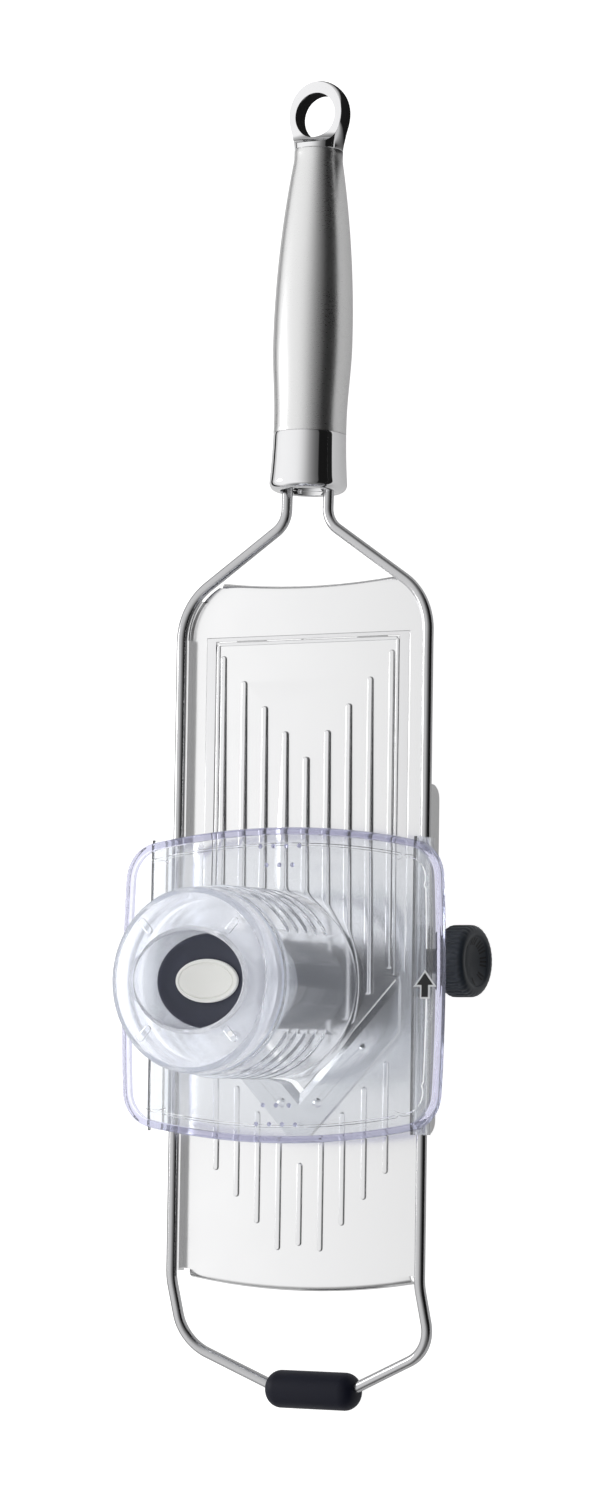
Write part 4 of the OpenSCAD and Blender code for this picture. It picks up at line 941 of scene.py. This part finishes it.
def cap_stations():
    """Every station of the cap, from the dome down the well and back up inside."""
    dome = [on_round(CAP_R - CAP_ROUND * (1 - cos(a)), CAP_TOP - CAP_ROUND * (1 - sin(a)))
            for a in range(0, 91, 10)]
    brim = [on_oval(BRIM_ROUND - BRIM_ROUND * sin(a), CAP_TOP - BRIM_ROUND + BRIM_ROUND * cos(a))
            for a in range(0, 91, 15)]
    well = [on_oval(0, LEDGE + 0.3), on_oval(-0.2, LEDGE), on_oval(-0.5, LEDGE), on_oval(-0.5, GUIDE + 0.2),
            on_oval(-0.3, GUIDE), on_oval(SLEEVE - 0.2, GUIDE), on_oval(SLEEVE, GUIDE + 0.2)]
    inside = [on_oval(SLEEVE, CAP_TOP - CAP_WALL), on_round(CAP_R - CAP_WALL, CAP_TOP - CAP_WALL),
              on_round(CAP_R - CAP_WALL, SPIGOT_INSIDE), on_round(SPIGOT_R, SPIGOT_INSIDE),
              on_round(SPIGOT_R, SPIGOT_LOW), on_round(COLUMN_BORE, SPIGOT_LOW),
              on_round(COLUMN_BORE, COLUMN_TOP), on_round(CAP_R - 0.3, COLUMN_TOP),
              on_round(CAP_R, COLUMN_TOP + 0.3)]
    return dome + brim + well + inside


SLOT_X, SLOT_Y, SLOT_LEN, SLOT_W, SLOT_DEEP = 15.0, 16.0, 5.7, 2.2, 1.0


def capsule(bm, x, y, angle, z_low, z_high):
    """An upright bar with half-round ends, standing at a place on the cap."""
    half = (SLOT_LEN - SLOT_W) / 2
    ends = arc((half, 0), SLOT_W / 2, -90, 90, 10) + arc((-half, 0), SLOT_W / 2, 90, 270, 10)
    flat = [(x + u * cos(angle) - v * sin(angle), y + u * sin(angle) + v * cos(angle)) for u, v in ends]
    skin(bm, [[at(px, py, z) for px, py in flat] for z in (z_low, z_high)])


cap = bmesh.new()
carried_round(cap, cap_stations(), 192)
cap_piece = piece("frosted_cap", cap, frosted_plastic, "guard", "frosted_plastic", ["guard_cap"], 40)
pockets = bmesh.new()
for sx in (-1, 1):
    for sy in (-1, 1):
        lean = sx * sy * math.degrees(math.atan2(SLOT_Y, SLOT_X))
        capsule(pockets, sx * SLOT_X, sy * SLOT_Y, lean, CAP_TOP - SLOT_DEEP, CAP_TOP + 1)
cut_out(cap_piece, pockets)
print("cap after the pockets:", len(cap_piece.data.vertices), "points")

# %% [markdown]
# ## Plunger top and badge
# The thumb presses a soft oval insert with rounded edges and a slightly dished face. On it sits a pale
# oval badge, slightly crowned, with one plain engraved line near its edge.

# %% Plunger top
PUSH_TOP, PUSH_LOW, PUSH_CLEAR, PUSH_ROUND = 53.2, 46.3, 0.3, 1.6
BADGE_A, BADGE_B, BADGE_T = 10.8, 6.55, 1.2


def oval_ring(a, b, z, sides=120):
    """A level oval round the column's axis."""
    turn = [2 * math.pi * k / sides for k in range(sides)]
    return [at(a * math.cos(t), b * math.sin(t), z) for t in turn]


def insert_rings():
    a, b = WELL_A - PUSH_CLEAR, WELL_B - PUSH_CLEAR
    side = [oval_ring(a - 0.3, b - 0.3, PUSH_LOW), oval_ring(a, b, PUSH_LOW + 0.3)]
    edge = []
    for t in range(0, 91, 15):
        inset = PUSH_ROUND * (1 - cos(t))
        edge.append(oval_ring(a - inset, b - inset, PUSH_TOP - PUSH_ROUND * (1 - sin(t))))
    dish = [oval_ring(a - step, b - step, PUSH_TOP - drop)
            for step, drop in ((2.2, 0.05), (3.2, 0.3), (4.2, 0.42))]
    return side + edge + dish


top = bmesh.new()
skin(top, insert_rings())
piece("plunger_top", top, soft_insert, "pusher", "soft_insert", ["pusher_top"], 50)

# %% Badge
def badge_rings():
    """The badge's outlines: its side, its rolled edge, the groove and the crown."""
    face = PUSH_TOP + BADGE_T
    side = ((0.0, -BADGE_T), (0.0, -0.5), (0.1, -0.25), (0.4, -0.12), (1.1, -0.08))
    groove = ((1.22, -0.32), (1.5, -0.32), (1.62, -0.07))
    crown = ((2.6, -0.04), (4.2, -0.01), (5.8, 0.0))
    return [oval_ring(BADGE_A - inset, BADGE_B - inset, face + drop) for inset, drop in side + groove + crown]


badge = bmesh.new()
skin(badge, badge_rings())
piece("oval_badge", badge, badge_plastic, "pusher", "badge_plastic", ["pusher_badge"], 50)

# %% [markdown]
# ## Dial
# The dial is turned by two fingertips, so its edge has 36 fine flutes. Its face is a flat ring round a
# shallow dish. The flutes are part of the turned shape: the radius rises and falls round the edge, and
# only on the stations that the flutes reach.

# %% Dial
DIAL_X, DIAL_T, DIAL_R, FLUTES, FLUTE_DEEP, DIAL_STEPS = 49.6, 9.0, 11.0, 36, 0.42, 432
CAM_Y, CAM_Z, HUB_R, HUB_X = 7.8, -7.4, 3.8, 42.03
BACK_ROUND, FRONT_ROUND, DISH_R, DISH_EDGE, DISH_DEEP = 1.4, 2.2, 7.6, 0.62, 2.2


def dial_ring(radius, out, flute=0.0):
    """A ring of the dial; flute is how much of the flutes' depth shows here."""
    ring = []
    for k in range(DIAL_STEPS):
        t = 2 * math.pi * k / DIAL_STEPS
        dip = FLUTE_DEEP * flute * (0.5 + 0.5 * math.cos(FLUTES * t)) ** 2
        r = radius - dip
        ring.append(at(DIAL_X + out, CAM_Y + r * math.cos(t), CAM_Z + r * math.sin(t)))
    return ring


def dish_level(r):
    """How far out the dish's surface stands at a distance from the dial's axis."""
    return DIAL_T - DISH_EDGE - DISH_DEEP * (1 - (r / DISH_R) ** 2)


def dial_rings():
    """The dial's outlines: hub, back, fluted edge, front, and the dish in its face."""
    hub = [dial_ring(HUB_R - 0.2, HUB_X - DIAL_X), dial_ring(HUB_R, HUB_X - DIAL_X + 0.2),
           dial_ring(HUB_R, 0)]
    back = [dial_ring(DIAL_R - BACK_ROUND * (1 - sin(a)), BACK_ROUND * (1 - cos(a)), a / 90)
            for a in range(0, 91, 18)]
    edge = [dial_ring(DIAL_R, 3, 1), dial_ring(DIAL_R, 5.2, 1), dial_ring(DIAL_R, 6.4, 0.8)]
    front = [dial_ring(DIAL_R - FRONT_ROUND * (1 - cos(a)), DIAL_T - FRONT_ROUND * (1 - sin(a)), 0.5 * cos(a))
             for a in range(0, 91, 15)]
    ring = [dial_ring(7.9, DIAL_T), dial_ring(7.75, DIAL_T - 0.12), dial_ring(7.7, DIAL_T - 0.5)]
    dish = [dial_ring(r, dish_level(r)) for r in (7.5, 7, 6.4, 5.6, 4.6, 3.4, 2, 0.8)]
    return hub + back + edge + front + ring + dish


dial = bmesh.new()
skin(dial, dial_rings())
piece("depth_dial", dial, dial_plastic, "adjuster", "dark_plastic", ["dial_knob"], 45)

# %% [markdown]
# The depth settings are shown by groups of short strokes in the dial's dish, one stroke more for each
# step. They are pad-printed, so each is a very thin black bar that follows the dish.

# %% Setting marks
MARK_IN, MARK_OUT, MARK_W, MARK_T, MARK_STEP = 5.0, 7.2, 0.55, 0.05, 11


def add_mark(bm, angle):
    """One radial stroke that lies on the dish."""
    rings = []
    for r in (MARK_IN, (MARK_IN + MARK_OUT) / 2, MARK_OUT):
        ring = []
        half = MARK_W / 2
        for v, lift in ((-half, -0.05), (half, -0.05), (half, MARK_T), (-half, MARK_T)):
            y, z = r * cos(angle) - v * sin(angle), r * sin(angle) + v * cos(angle)
            ring.append(at(DIAL_X + dish_level(r) + lift, CAM_Y + y, CAM_Z + z))
        rings.append(ring)
    skin(bm, rings)


marks = bmesh.new()
for group, strokes in enumerate((1, 2, 3, 4, 3, 2, 1)):
    for k in range(strokes):
        add_mark(marks, 90 - 45 * group + (k - (strokes - 1) / 2) * MARK_STEP)
piece("setting_marks", marks, black_print, "adjuster", "dark_plastic", None, 40)

# %% [markdown]
# The arrow on the flange says which way to push. It is printed twice: white first, a little larger, then
# black. The white print is what makes it readable on clear plastic.

# %% White edge of the arrow
ARROW_X, ARROW_W, ARROW_L, ARROW_RIM, PRINT_T = 51.6, 5.7, 7.3, 0.55, 0.12


def arrow_outline():
    """The arrow's outline, grown evenly by the width of the white edge."""
    tail, head, rim = ARROW_W * 0.2 + ARROW_RIM, ARROW_L * 0.5, ARROW_RIM
    wing = ARROW_W / 2 + 2.0 * rim
    low, tip, step = -ARROW_L / 2 - rim, ARROW_L / 2 + 1.6 * rim, ARROW_L / 2 - head - rim
    return [(-tail, low), (tail, low), (tail, step), (wing, step), (0, tip), (-wing, step), (-tail, step)]


edge_print = bmesh.new()
skin(edge_print, [[at(ARROW_X + x, y, FLANGE_TOP + z) for x, y in arrow_outline()] for z in (-0.05, PRINT_T)])
piece("arrow_edge", edge_print, white_print, "guard", "black_print", None, 30)
